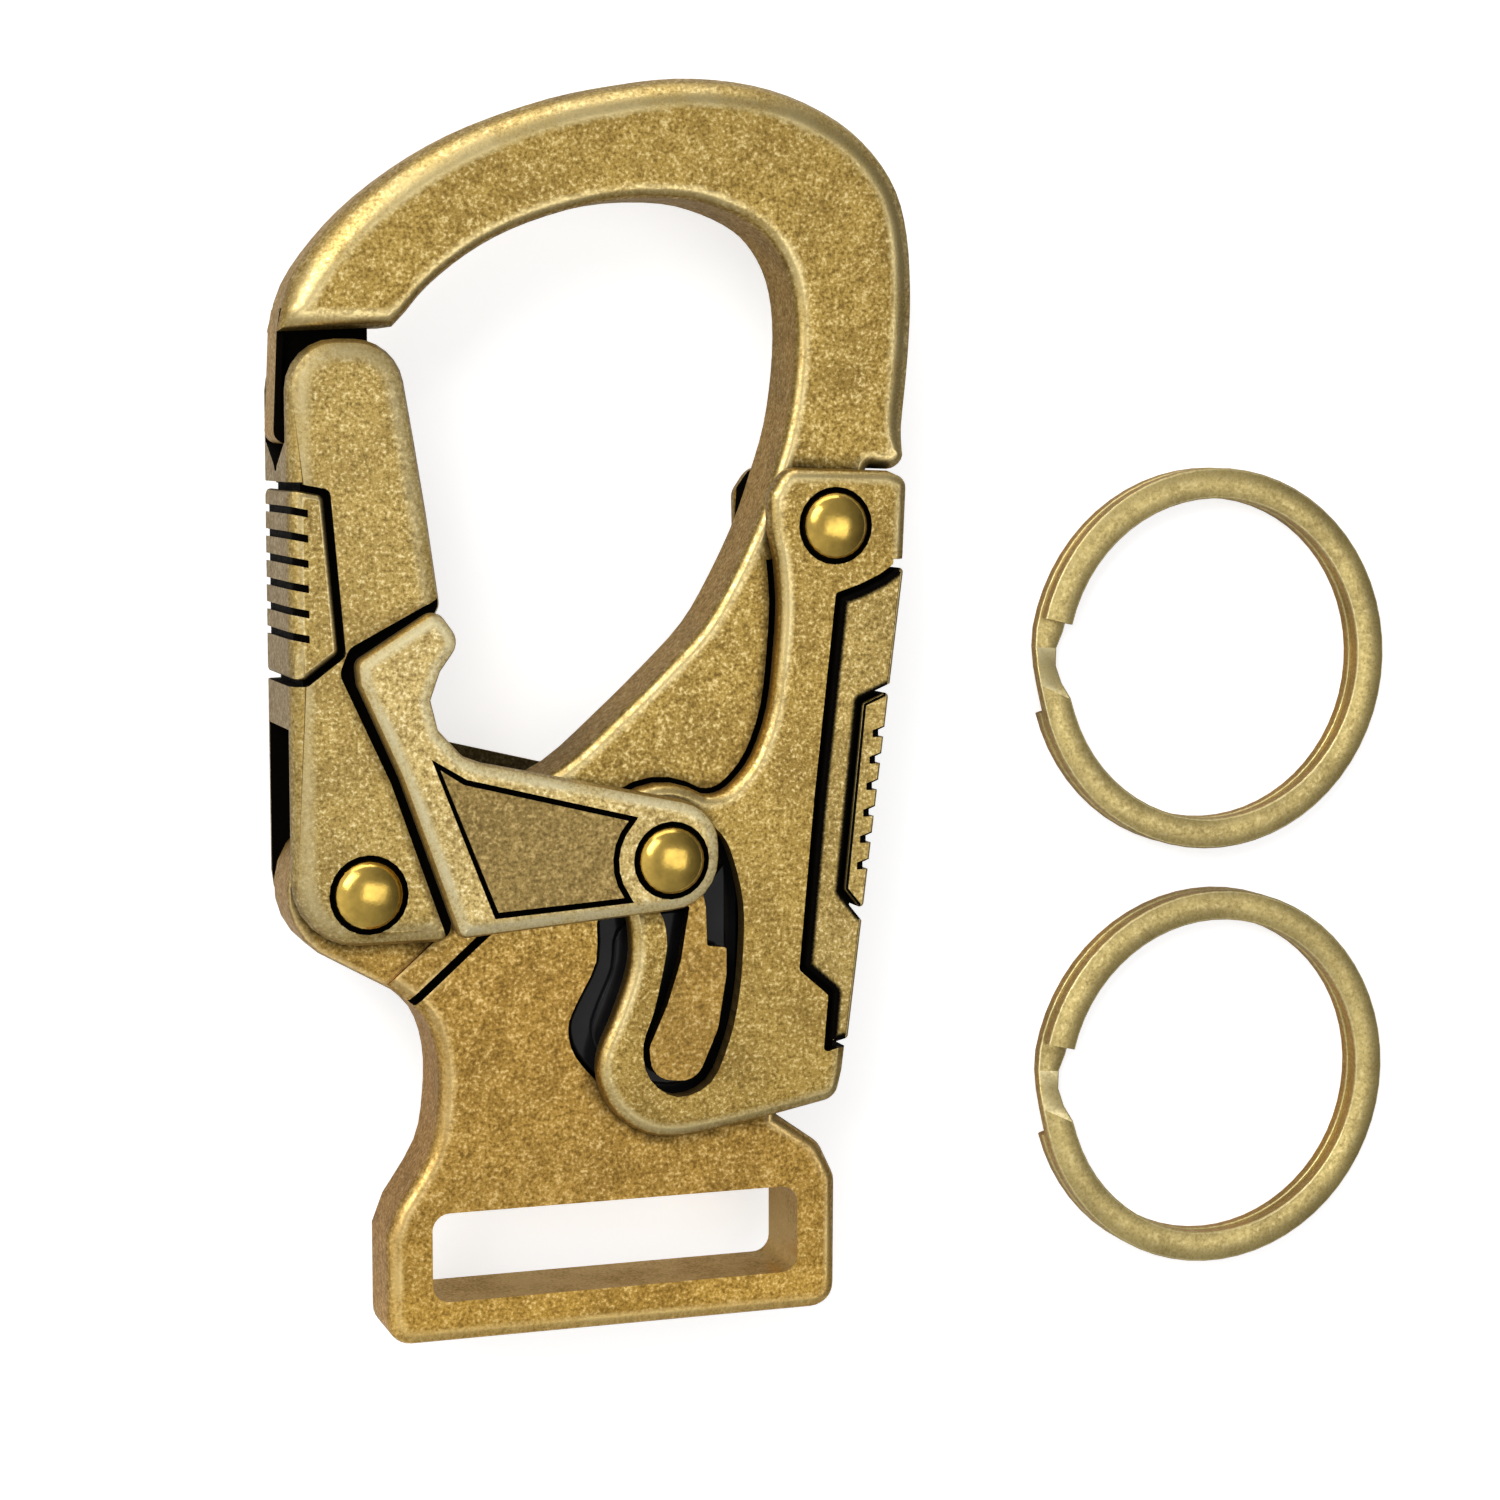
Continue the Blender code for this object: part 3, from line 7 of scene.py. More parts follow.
import bmesh
import bpy
from mathutils import Matrix, Vector
from mathutils.bvhtree import BVHTree
from mathutils.geometry import delaunay_2d_cdt


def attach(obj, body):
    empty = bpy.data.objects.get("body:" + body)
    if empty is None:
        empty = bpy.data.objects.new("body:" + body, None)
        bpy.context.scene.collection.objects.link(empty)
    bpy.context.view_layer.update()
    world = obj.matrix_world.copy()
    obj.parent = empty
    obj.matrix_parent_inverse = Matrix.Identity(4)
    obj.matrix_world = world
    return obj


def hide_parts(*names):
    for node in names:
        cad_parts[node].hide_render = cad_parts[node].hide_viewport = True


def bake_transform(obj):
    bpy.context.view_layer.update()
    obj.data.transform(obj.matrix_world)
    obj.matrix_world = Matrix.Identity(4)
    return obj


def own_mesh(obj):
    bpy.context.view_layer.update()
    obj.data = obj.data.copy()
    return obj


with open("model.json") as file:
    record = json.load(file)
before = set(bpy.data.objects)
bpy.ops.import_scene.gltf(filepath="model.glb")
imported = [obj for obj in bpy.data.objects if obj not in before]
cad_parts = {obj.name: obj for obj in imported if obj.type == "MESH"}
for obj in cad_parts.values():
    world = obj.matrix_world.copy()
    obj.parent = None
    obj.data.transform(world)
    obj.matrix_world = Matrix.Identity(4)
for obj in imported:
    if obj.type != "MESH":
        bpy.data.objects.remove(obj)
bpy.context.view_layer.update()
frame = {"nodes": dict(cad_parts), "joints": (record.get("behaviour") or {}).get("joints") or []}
gate_hinge = next(joint["pos_m"] for joint in frame["joints"] if joint["name"] == "gate_hinge")

# Hook's middle plane over the table, and heights of the outer faces over that plane, in metres
MIDDLE = gate_hinge[2]
BODY_HALF = 0.0031
PLATE_HALF = 0.0047
LEVER_HALF = 0.0063
UP = Vector((0, 0, 1))

# How far under those heights a face still counts as outer: on most pieces, and on the casting's stepped ear
SHALLOW = 0.0001
EAR_STEP = 0.00045

# Points closer than the first value are one, and edges sharper than the second stay sharp
MERGE = 1e-6
CREASE_ANGLE = math.radians(50)

# How walls and broad faces are told apart, by the upright part of their normals
WALL_SLOPE = 0.25
FLAT_SLOPE = 0.985

# Names of the painted values, and of the marks on netted outer faces
RIM = "rim"
PATINA_AND_SHADE = "patina_and_shade"
WALL = "wall"
TOP = "top"
NEAR = "near_rim"
GAP = "near_gap"

# Net of triangles over outer faces: room beside its border as a share of the spacing, and rounding
NET_CLEAR = 0.45
NET_MERGE = 1e-9
LEVEL_DIGITS = 5

# Each net's outer level and spacing, how far its soft rim reaches in and drops, and its margin by a gap
BODY_NET = {"outer": BODY_HALF, "shallow": EAR_STEP, "spacing": 0.00055, "soft": 0.0004, "drop": 0.00003}
GATE_NET = {"outer": PLATE_HALF, "spacing": 0.0003, "soft": 0.0009, "drop": 0.00010}
LEVER_NET = {"outer": LEVER_HALF, "spacing": 0.00022, "soft": 0.0006, "drop": 0.00007}
TRIGGER_NET = {"outer": PLATE_HALF, "spacing": 0.0004, "soft": 0.0005, "drop": 0.00004}
STRIP_NET = {"outer": PLATE_HALF, "spacing": 0.00014, "gap": 0.00036}

# Where patina and painted shade go: rays that leave a face and meet another surface nearby
RAY_COUNT = 24
RAY_REACH = 0.0016
RAY_LIFT = 0.00003
GOLDEN_ANGLE = math.pi * (3 - math.sqrt(5))
PATINA_AND_SHADE_START = 0.38
PATINA_AND_SHADE_FULL = 0.62

# Painted shadow, fainter, on outer faces in the lee of what stands on them
SHADOW_RAYS = 12
SHADOW_LIFT = 0.00016
SHADOW_START = 0.10
SHADOW_FULL = 0.55
SHADOW_DEPTH = 0.80

# Gaps between seated pieces: how deep and how far off a neighbour is sought, and how fast a margin turns
# black with patina and painted shade
GAP_DROP = 0.0003
GAP_REACH = 0.0009
GAP_CORE = 2.0

# Zones seen from above, as left, right, low and high
KEYHOLE_ZONE = (-0.0445, -0.0420, 0.0165, 0.0200)
NOSE_ZONE = (-0.0433, -0.0370, 0.0225, 0.0290)
SLOT_ZONE = (-0.0345, -0.0072, -0.0400, -0.0328)

# What is painted black as shade in them: faces of the keyhole that lean this far up the hook, and the rib of
# this half height
KEYHOLE_SLOPE = 0.3
NOSE_RIB_HALF = 0.0011

# Painted shade on the inner faces of the lever plates
LEVER_INSIDE_SHADE = 0.85

# Ribbed thumb pad: its back, the round rim there, the depth of the grooves' floor and the stretch of ribs
PAD_BACK = -0.0436423
PAD_RIM = 0.0010
PAD_FLOOR = (0.00018, 0.00032)
PAD_RIBS = (0.0055, 0.0150)
RIB_SIDE_SLOPE = 0.85

# Split rings: radius of the band's middle line and how far its edges seem to lean
RING_MIDDLE_RADIUS = 0.01335
BAND_CROWN = 0.30

# Textures of the antique brass: scale, detail and roughness, and the share of each grain in the sand
CLOUD = (230.0, 4.0, 0.55)
FINE_GRAIN = (4200.0, 2.0, 0.65)
FINE_SHARE = 0.7
COARSE_GRAIN = (1500.0, 2.0, 0.6)
COARSE_SHARE = 0.3

# Ramps of the antique brass: low and high value of what they read, then the result at each
CLOUD_PATINA = (0.40, 0.70, 0.0, 0.45)
SAND_PITS = (0.36, 0.50, 0.80, 0.0)
SAND_GLINTS = (0.53, 0.66, 0.0, 0.75)
WALL_GLINTS = (0.0, 1.0, 1.0, 0.6)
SAND_ROUGHNESS = (0.38, 0.62, 0.52, 0.36)
RIM_REACH = (0.25, 0.95)
RIM_PATCHES = (0.60, 0.88, 0.35, 1.0)

# Shares of one effect in another on the antique brass, and the height of its relief
PATCH_SAND = 0.6
WORN_POLISH = 0.08
# Black of patina and painted shade: the roughness it adds, and its tone
PATINA_AND_SHADE_ROUGHNESS = 0.40
PATINA_AND_SHADE_TONE = (0.006, 0.005, 0.004, 1)
CLOUD_RELIEF = 0.6
BRASS_RELIEF = 0.00004

# Tone of the hook's casting, which turns golden down its waist and brighter at its foot
NO_TINT = (1, 1, 1, 1)
WAIST_TINT = (1.02, 0.91, 0.78, 1)
WAIST_RANGE = (-0.006, -0.018)
FOOT_TINT = (1.34, 1.20, 0.94, 1)
FOOT_RANGE = (-0.034, -0.042)

# Tones of each antique brass, by the inputs of their node group; the wall tone is darker, painted shade on
# side walls
# The worn tone is pale: wear with a painted highlight on rims, and painted glints in the sand
BODY_TONES = {
    "Face": (0.50, 0.335, 0.085),
    "Patina": (0.20, 0.12, 0.03),
    "Worn Highlight": (0.84, 0.68, 0.33),
    "Shaded Wall": (0.49, 0.29, 0.062),
}
TRIGGER_TONES = {**BODY_TONES, "Shaded Wall": (0.42, 0.27, 0.085)}
PLATE_TONES = {
    "Face": (0.52, 0.365, 0.11),
    "Patina": (0.21, 0.135, 0.04),
    "Worn Highlight": (0.86, 0.72, 0.39),
    "Shaded Wall": (0.38, 0.27, 0.12),
}
LEVER_TONES = {
    "Face": (0.68, 0.505, 0.19),
    "Patina": (0.28, 0.185, 0.06),
    "Worn Highlight": (0.94, 0.83, 0.50),
    "Shaded Wall": (0.40, 0.29, 0.12),
}
PANEL_TONES = {
    "Face": (0.35, 0.24, 0.08),
    "Patina": (0.18, 0.12, 0.04),
    "Worn Highlight": (0.54, 0.40, 0.17),
    "Shaded Wall": (0.02, 0.015, 0.01),
}
TAIL_TONES = {
    "Face": (0.48, 0.29, 0.065),
    "Patina": (0.22, 0.13, 0.035),
    "Worn Highlight": (0.7, 0.53, 0.24),
    "Shaded Wall": (0.02, 0.014, 0.006),
}
RING_TONES = {
    "Face": (0.70, 0.55, 0.22),
    "Patina": (0.22, 0.155, 0.05),
    "Worn Highlight": (0.92, 0.80, 0.46),
    "Shaded Wall": (0.46, 0.26, 0.065),
}

# Smooth finishes: their colours, the detail and ramps of their mottle, and a finer relief
GOLD = (0.78, 0.52, 0.11)
STEEL = (0.50, 0.49, 0.46)
BLACK = (0.010, 0.010, 0.011)
MOTTLE_DETAIL = 4.0
MOTTLE_TONE = (0.35, 0.65)
MOTTLE_GLOSS = (0.3, 0.7)
GLOSS_SPREAD = (0.8, 1.25)
FINE_SCALE = 6
FINE_DETAIL = 2.0
FINE_RELIEF = 0.00003

# Camera, at the photograph's viewing angle
CAMERA_PLACE = (-0.083492, 0.020051, 0.220268)
CAMERA_YAW = math.radians(19.0)
CAMERA_PITCH = math.radians(5.7)
CAMERA_LENS = 76.8
CAMERA_SENSOR = 36.0
CAMERA_NEAREST = 0.001

# Floor, and the glow that makes it white to the camera
FLOOR_REACH = 0.6
FLOOR_TONE = (0.7, 0.7, 0.7, 1)
FLOOR_ROUGHNESS = 0.9
FLOOR_GLOW = 0.62

# Softboxes, as place, size and power in watts, and the point that they face
SOFTBOXES = {
    "key_softbox": ((-0.60, 0.50, 0.70), (0.60, 0.60), 5.5),
    "top_softbox": ((-0.10, 0.95, 0.24), (1.0, 0.40), 3.0),
    "overhead_softbox": ((0.30, -0.05, 1.05), (0.5, 0.7), 1.7),
}
SOFTBOX_AIM = (0, 0, 0.007)

# Light of the room, from its bright left wall to its dim right one
WHITE = (1, 1, 1, 1)
ROOM_LEFT = 0.86
ROOM_RIGHT = 0.08


# Telling faces and places apart

def is_broad(face):
    return abs(face.normal.z) > FLAT_SLOPE


def is_wall(face):
    return abs(face.normal.z) < WALL_SLOPE


def faces_inwards(face):
    return is_broad(face) and (face.center.z - MIDDLE) * face.normal.z < 0


def in_zone(place, zone):
    left, right, low, high = zone
    return left < place.x < right and low < place.y < high


def is_highlit_slot_wall(face):
    """Walls of the webbing slot, which take the pale worn tone as a painted highlight instead of the wall's
    painted shade.
    """
    return is_wall(face) and in_zone(face.center, SLOT_ZONE)


def has_rim(edge):
    return any(not is_broad(face) and not is_wall(face) for face in edge.link_faces)


def share(value, start, full):
    """0 up to a start, 1 from a full value on, and even between them."""
    return min(1, max(0, (value - start) / (full - start)))


def hemisphere():
    """Directions over the upper half of a sphere, denser towards its top."""
    ways = []
    for i in range(RAY_COUNT):
        across = math.sqrt((i + 0.5) / RAY_COUNT)
        turn = GOLDEN_ANGLE * i
        ways.append(Vector((across * math.cos(turn), across * math.sin(turn), math.sqrt(1 - across**2))))
    return ways


def all_surfaces(but=None):
    """Every CAD face at rest, for finding the faces that are closed in; one piece can be left out."""
    points = []
    faces = []
    for name, node in frame["nodes"].items():
        if name == but:
            continue
        start = len(points)
        points += [vertex.co.copy() for vertex in node.data.vertices]
        faces += [[start + v for v in face.vertices] for face in node.data.polygons]
    return BVHTree.FromPolygons(points, faces)


# Net over the outer faces

def lay_net(form, node, outer, spacing, shallow=SHALLOW, soft=0.0, drop=0.0, gap=0.0):
    """Even triangles over outer faces; soft widens the round rims, and gap marks the margins beside gaps."""
    top = form.faces.layers.int.new(TOP)
    near_rim = form.verts.layers.float.new(NEAR)
    near_gap = form.verts.layers.float.new(GAP)
    others = all_surfaces(node) if gap else None
    for faces in by_level(form, outer, shallow):
        edges = border_of(faces)
        rims = curtain([edge for edge in edges if has_rim(edge)])
        gaps = curtain([edge for edge in edges if gap and beside_other(edge, faces, others)])
        vertices = refill(form, faces, edges, spacing, top)
        for vertex in vertices:
            vertex[near_rim] = nearness(rims, vertex.co, soft)
            vertex[near_gap] = nearness(gaps, vertex.co, gap)
        for vertex in vertices:
            vertex.co.z -= math.copysign(drop, vertex.co.z - MIDDLE) * vertex[near_rim] ** 2
    form.normal_update()


def by_level(form, outer, shallow):
    """Outer faces in groups of one side and height."""
    levels = {}
    for face in form.faces:
        height = (face.calc_center_median().z - MIDDLE) * (1 if face.normal.z > 0 else -1)
        if is_broad(face) and outer - shallow < height:
            levels.setdefault((face.normal.z > 0, round(height, LEVEL_DIGITS)), []).append(face)
    return levels.values()


def border_of(faces):
    region = set(faces)
    edges = (edge for face in faces for edge in face.edges)
    return list(dict.fromkeys(e for e in edges if any(face not in region for face in e.link_faces)))


def curtain(edges):
    """Upright strips through some edges, to measure the distance to them."""
    if not edges:
        return None
    points = []
    for edge in edges:
        for vertex in edge.verts:
            points += [vertex.co + step * UP for step in (-MERGE, MERGE)]
    strips = [(4 * i, 4 * i + 1, 4 * i + 3, 4 * i + 2) for i in range(len(edges))]
    return BVHTree.FromPolygons(points, strips)


def nearness(tree, point, width):
    """1 on the edges of a curtain and 0 from a width away."""
    if tree is None or not width:
        return 0.0
    distance = tree.find_nearest(point, width)[3]
    return 0.0 if distance is None else 1 - distance / width


def beside_other(edge, faces, others):
    """Whether another piece stands close beside an edge of some level faces, across a gap."""
    centre = next(face for face in edge.link_faces if face in faces).calc_center_median()
    middle = (edge.verts[0].co + edge.verts[1].co) / 2
    across = (edge.verts[1].co - edge.verts[0].co).normalized().cross(UP)
    if across.dot(middle - centre) < 0:
        across = -across
    start = middle - math.copysign(GAP_DROP, middle.z - MIDDLE) * UP
    return others.ray_cast(start, across, GAP_REACH)[0] is not None


def refill(form, faces, edges, spacing, top):
    """Even triangles in the place of some level faces, inside the same border; returns their vertices."""
    corners = list(dict.fromkeys(vertex for edge in edges for vertex in edge.verts))
    number = {vertex: i for i, vertex in enumerate(corners)}
    cover = BVHTree.FromPolygons([vertex.co for face in faces for vertex in face.verts], rings_of(faces))
    border = curtain(edges)
    level = corners[0].co.z
    upwards = faces[0].normal.z > 0
    inner = [
        point
        for point in lattice(corners, spacing, level)
        if on_cover(cover, point) and border.find_nearest(point, spacing * NET_CLEAR)[0] is None
    ]
    points = [vertex.co.to_2d() for vertex in corners] + [point.to_2d() for point in inner]
    links = [(number[edge.verts[0]], number[edge.verts[1]]) for edge in edges]
    spots, _, tiles, sources, _, _ = delaunay_2d_cdt(points, links, [], 0, NET_MERGE)
    bmesh.ops.delete(form, geom=faces, context="FACES")
    made = {}
    for tile in tiles:
        middle = sum((spots[i] for i in tile), Vector((0, 0))) / len(tile)
        if not on_cover(cover, Vector((*middle, level))):
            continue
        for i in tile:
            if i not in made:
                on_border = sources[i] and sources[i][0] < len(corners)
                made[i] = corners[sources[i][0]] if on_border else form.verts.new((*spots[i], level))
        face = form.faces.new([made[i] for i in tile])
        face[top] = 1
        face.normal_update()
        if (face.normal.z > 0) != upwards:
            face.normal_flip()
    return list(made.values())


def rings_of(faces):
    """Vertex numbers of faces whose corners are listed one face after another."""
    rings = []
    start = 0
    for face in faces:
        rings.append(tuple(range(start, start + len(face.verts))))
        start += len(face.verts)
    return rings


def on_cover(cover, point):
    return cover.ray_cast(point + SHALLOW * UP, -UP, 2 * SHALLOW)[0] is not None


def lattice(corners, spacing, level):
    """Points of an even triangular lattice over the box of some corners."""
    low_x, high_x = (pick(v.co.x for v in corners) for pick in (min, max))
    low_y, high_y = (pick(v.co.y for v in corners) for pick in (min, max))
    row_step = spacing * math.sqrt(3) / 2
    for row in range(int((high_y - low_y) / row_step) + 1):
        shift = spacing / 2 * (row % 2)
        for column in range(int((high_x - low_x) / spacing) + 1):
            yield Vector((low_x + shift + column * spacing, low_y + row * row_step, level))


# Patina and painted shade on a face, from 0 for none to 1 for black

def blocked_share(start, normal, ways):
    """Share of the ways out of a place that meet a surface nearby."""
    turn = normal.to_track_quat("Z", "Y")
    return sum(surfaces.ray_cast(start, turn @ way, RAY_REACH)[0] is not None for way in ways) / len(ways)


def closed_in(face):
    """0 for a face in the open and 1 for one in a narrow gap."""
    blocked = blocked_share(face.center + face.normal * RAY_LIFT, face.normal, ways_out)
    return share(blocked, PATINA_AND_SHADE_START, PATINA_AND_SHADE_FULL)


def painted_shadow_at(point, normal):
    """Painted shadow in the lee of a raised piece, at a point of an outer face."""
    blocked = blocked_share(point + normal * SHADOW_LIFT, normal, ways_out[::RAY_COUNT // SHADOW_RAYS])
    return SHADOW_DEPTH * share(blocked, SHADOW_START, SHADOW_FULL)


def patina_and_shade_on(face, points, outer, shallow=SHALLOW):
    """Patina and painted shade on a face of a piece whose outer level is given; floors deeper than a step
    are black.
    """
    if is_broad(face) and not faces_inwards(face):
        return 0 if max(abs(point.z - MIDDLE) for point in points) > outer - shallow else 1
    return closed_in(face) if is_broad(face) or is_wall(face) else 0


def body_patina_and_shade(face, points):
    """Patina and painted shade of the casting, with the rib under its nose painted black as shade."""
    if in_zone(face.center, NOSE_ZONE) and all(abs(point.z - MIDDLE) < NOSE_RIB_HALF for point in points):
        return 1
    return patina_and_shade_on(face, points, BODY_HALF, EAR_STEP)


def gate_patina_and_shade(face, points):
    """Painted shade and patina of the gate: painted black as shade inside its channel and in the keyhole
    that takes the catch.
    """
    if in_zone(face.center, KEYHOLE_ZONE) and face.normal.y > KEYHOLE_SLOPE:
        return 1
    return 1 if faces_inwards(face) else patina_and_shade_on(face, points, PLATE_HALF)


def pad_patina_and_shade(face, points):
    """Patina and painted shade of the thumb pad: black grooves over its back, its round rims and its
    flanges.
    """
    low, high = PAD_RIBS
    if abs(face.normal.y) > RIB_SIDE_SLOPE and low < face.center.y < high:
        return 1
    depths = [depth_in_pad(point) for point in points]
    if PAD_FLOOR[0] < min(depths) and max(depths) < PAD_FLOOR[1]:
        return 1
    return patina_and_shade_on(face, points, PLATE_HALF)


def depth_in_pad(point):
    """Distance under the pad's outer surface: a back and a face with a round rim between them."""
    behind = point.x - PAD_BACK
    under = PLATE_HALF - abs(point.z - MIDDLE)
    if behind < PAD_RIM and under < PAD_RIM:
        return PAD_RIM - math.hypot(PAD_RIM - behind, PAD_RIM - under)
    return min(behind, under)


def lever_patina_and_shade(face, points):
    """Patina and painted shade of a lever plate: painted shade on the side that faces the hook."""
    return LEVER_INSIDE_SHADE if faces_inwards(face) else patina_and_shade_on(face, points, LEVER_HALF)


# Patina and painted shade of the trigger's channel
def trigger_patina_and_shade(face, points):
    return patina_and_shade_on(face, points, PLATE_HALF)


def inlay_patina_and_shade(node):
    """As the trigger's patina and painted shade, with the walls and round rims along an inlay's gap all
    black as patina and painted shade.
    """
    others = all_surfaces(node)

    def patina_and_shade(face, points):
        if is_broad(face):
            return patina_and_shade_on(face, points, PLATE_HALF)
        outwards = Vector((face.normal.x, face.normal.y, 0)).normalized()
        down = 0 if is_wall(face) else math.copysign(GAP_DROP, face.normal.z)
        return float(others.ray_cast(face.center - down * UP, outwards, GAP_REACH)[0] is not None)

    return patina_and_shade


# Values painted on a finished piece

def paint(piece, patina_and_shade):
    """Write three values on a piece: worn rims with a painted highlight, patina and painted shade, and walls
    in painted shade.
    """
    mesh = piece.data
    tops = top_flags(mesh)
    levels = {RIM: rim_values(mesh, tops), PATINA_AND_SHADE: patina_and_shade_values(mesh, tops, patina_and_shade)}
    for name, values in levels.items():
        made = mesh.attributes.new(name, "FLOAT", "CORNER")
        made.data.foreach_set("value", values)
    # Side walls take a darker tone as painted shade; the webbing slot's walls take a painted highlight
    # instead
    walls = mesh.attributes.new(WALL, "FLOAT", "FACE")
    walls.data.foreach_set("value", [float(is_wall(face) and not is_highlit_slot_wall(face)) for face in mesh.polygons])


def top_flags(mesh):
    """For each face, whether it belongs to the net over the outer faces."""
    marks = mesh.attributes.get(TOP)
    return [bool(mark.value) for mark in marks.data] if marks else [False] * len(mesh.polygons)


def rim_values(mesh, tops):
    """On round rims 1 by a flat face and 0 by a wall, on the net its own values, and 1 on the webbing slot's
    walls as painted highlight.
    """
    values = [0.0] * len(mesh.loops)
    near = mesh.attributes.get(NEAR)
    flat = {v for face, top in zip(mesh.polygons, tops) if top or is_broad(face) for v in face.vertices}
    upright = {v for face in mesh.polygons if is_wall(face) for v in face.vertices}
    for face, top in zip(mesh.polygons, tops):
        highlit_slot_wall = is_highlit_slot_wall(face)
        if not top and not highlit_slot_wall and (is_broad(face) or is_wall(face)):
            continue
        for corner in face.loop_indices:
            vertex = mesh.loops[corner].vertex_index
            if top:
                values[corner] = near.data[vertex].value
            elif highlit_slot_wall or vertex in flat:
                values[corner] = 1.0
            else:
                values[corner] = 0.0 if vertex in upright else 0.5
    return values


def patina_and_shade_values(mesh, tops, patina_and_shade):
    """A face's own patina and painted shade at its corners, and on the net the painted shadow at each point
    or the margin by a gap.
    """
    values = [0.0] * len(mesh.loops)
    gaps = mesh.attributes.get(GAP)
    net_patina_and_shade = {}
    for face, top in zip(mesh.polygons, tops):
        points = [mesh.vertices[v].co for v in face.vertices]
        level = patina_and_shade(face, points) if patina_and_shade and not top else 0
        outwards = math.copysign(1, face.normal.z) * UP
        for corner in face.loop_indices:
            vertex = mesh.loops[corner].vertex_index
            if top and vertex not in net_patina_and_shade:
                margin = min(1, GAP_CORE * gaps.data[vertex].value)
                net_patina_and_shade[vertex] = max(painted_shadow_at(mesh.vertices[vertex].co, outwards), margin)
            values[corner] = net_patina_and_shade[vertex] if top else level
    return values


# Shading of a finished piece

def soft_groups(vertex):
    """Faces round a vertex, in groups that meet over soft edges."""
    waiting = list(vertex.link_faces)
    while waiting:
        group = [waiting.pop()]
        for face in group:
            for edge in vertex.link_edges:
                if face not in edge.link_faces:
                    continue
                for other in edge.link_faces:
                    if other in waiting and face.normal.angle(other.normal, 0) < CREASE_ANGLE:
                        waiting.remove(other)
                        group.append(other)
        yield group


def leading_faces(group, top):
    """Faces that set a group's normal: netted ones, or else broad ones, or else walls, or else all."""
    netted = [face for face in group if top and face[top]]
    broad = [face for face in group if is_broad(face)]
    walls = [face for face in group if is_wall(face)]
    return netted or broad or walls or group


def rim_normals(mesh):
    """Corner normals that keep broad faces flat and walls upright, and let the rims turn between them."""
    form = bmesh.new()
    form.from_mesh(mesh)
    top = form.faces.layers.int.get(TOP)
    normals = [UP] * len(mesh.loops)
    for vertex in form.verts:
        for group in soft_groups(vertex):
            leading = leading_faces(group, top)
            normal = sum((face.normal * face.calc_area() for face in leading), Vector()).normalized()
            for loop in vertex.link_loops:
                if loop.face in group:
                    normals[loop.index] = normal
    form.free()
    return normals


def set_normals(mesh, normals):
    mesh.shade_smooth()
    mesh.normals_split_custom_set(normals)


def smooth_rims(piece):
    set_normals(piece.data, rim_normals(piece.data))


def smooth_band(piece):
    """As smooth_rims, with a split ring's flat band shaded as softly crowned across its width."""
    mesh = piece.data
    normals = rim_normals(mesh)
    corners = [vertex.co for vertex in mesh.vertices]
    middle = Vector([(min(c[k] for c in corners) + max(c[k] for c in corners)) / 2 for k in (0, 1)])
    for face in mesh.polygons:
        if not is_broad(face):
            continue
        for corner in face.loop_indices:
            arm = mesh.vertices[mesh.loops[corner].vertex_index].co.to_2d() - middle
            lean = arm.normalized() * (BAND_CROWN if arm.length > RING_MIDDLE_RADIUS else -BAND_CROWN)
            normals[corner] = Vector((*lean, math.copysign(1, face.normal.z))).normalized()
    set_normals(mesh, normals)


def smooth_creased(piece):
    """Plain smooth shading with sharp creases, for domes and wire."""
    piece.data.shade_smooth()
    piece.data.set_sharp_from_angle(angle=CREASE_ANGLE)


# Shader node helpers

def new_group(name, inputs, outputs):
    """Empty node group, with its input and output nodes."""
    group = bpy.data.node_groups.new(name, "ShaderNodeTree")
    for label, kind, value in inputs:
        socket = group.interface.new_socket(label, in_out="INPUT", socket_type=kind)
        socket.default_value = value
    for label, kind in outputs:
        group.interface.new_socket(label, in_out="OUTPUT", socket_type=kind)
    return group, group.nodes.new("NodeGroupInput"), group.nodes.new("NodeGroupOutput")


def new_material(name):
    """Material, with its node tree and its Principled shader."""
    made = bpy.data.materials.new(name)
    made.use_nodes = True
    return made, made.node_tree, made.node_tree.nodes["Principled BSDF"]


def connect(tree, value, socket):
    """Link a socket, or set a plain value."""
    if isinstance(value, bpy.types.NodeSocket):
        tree.links.new(value, socket)
    else:
        socket.default_value = value


def object_place(tree):
    return tree.nodes.new("ShaderNodeTexCoord").outputs["Object"]


def attribute(tree, name):
    node = tree.nodes.new("ShaderNodeAttribute")
    node.attribute_name = name
    return node.outputs["Fac"]


def along(tree, vector, axis):
    """One coordinate of a vector."""
    node = tree.nodes.new("ShaderNodeSeparateXYZ")
    tree.links.new(vector, node.inputs["Vector"])
    return node.outputs[axis]


def noise(tree, place, scale, detail, roughness=0.55):
    node = tree.nodes.new("ShaderNodeTexNoise")
    for label, value in (("Vector", place), ("Scale", scale), ("Detail", detail), ("Roughness", roughness)):
        connect(tree, value, node.inputs[label])
    return node.outputs["Fac"]


def ramp(tree, value, low, high, start=0.0, stop=1.0):
    node = tree.nodes.new("ShaderNodeMapRange")
    connect(tree, value, node.inputs["Value"])
    for label, end in (("From Min", low), ("From Max", high), ("To Min", start), ("To Max", stop)):
        connect(tree, end, node.inputs[label])
    return node.outputs["Result"]


def arithmetic(tree, operation, one, two):
    node = tree.nodes.new("ShaderNodeMath")
    node.operation = operation
    connect(tree, one, node.inputs[0])
    connect(tree, two, node.inputs[1])
    return node.outputs[0]


def total(tree, one, two):
    return arithmetic(tree, "ADD", one, two)


def product(tree, one, two):
    return arithmetic(tree, "MULTIPLY", one, two)


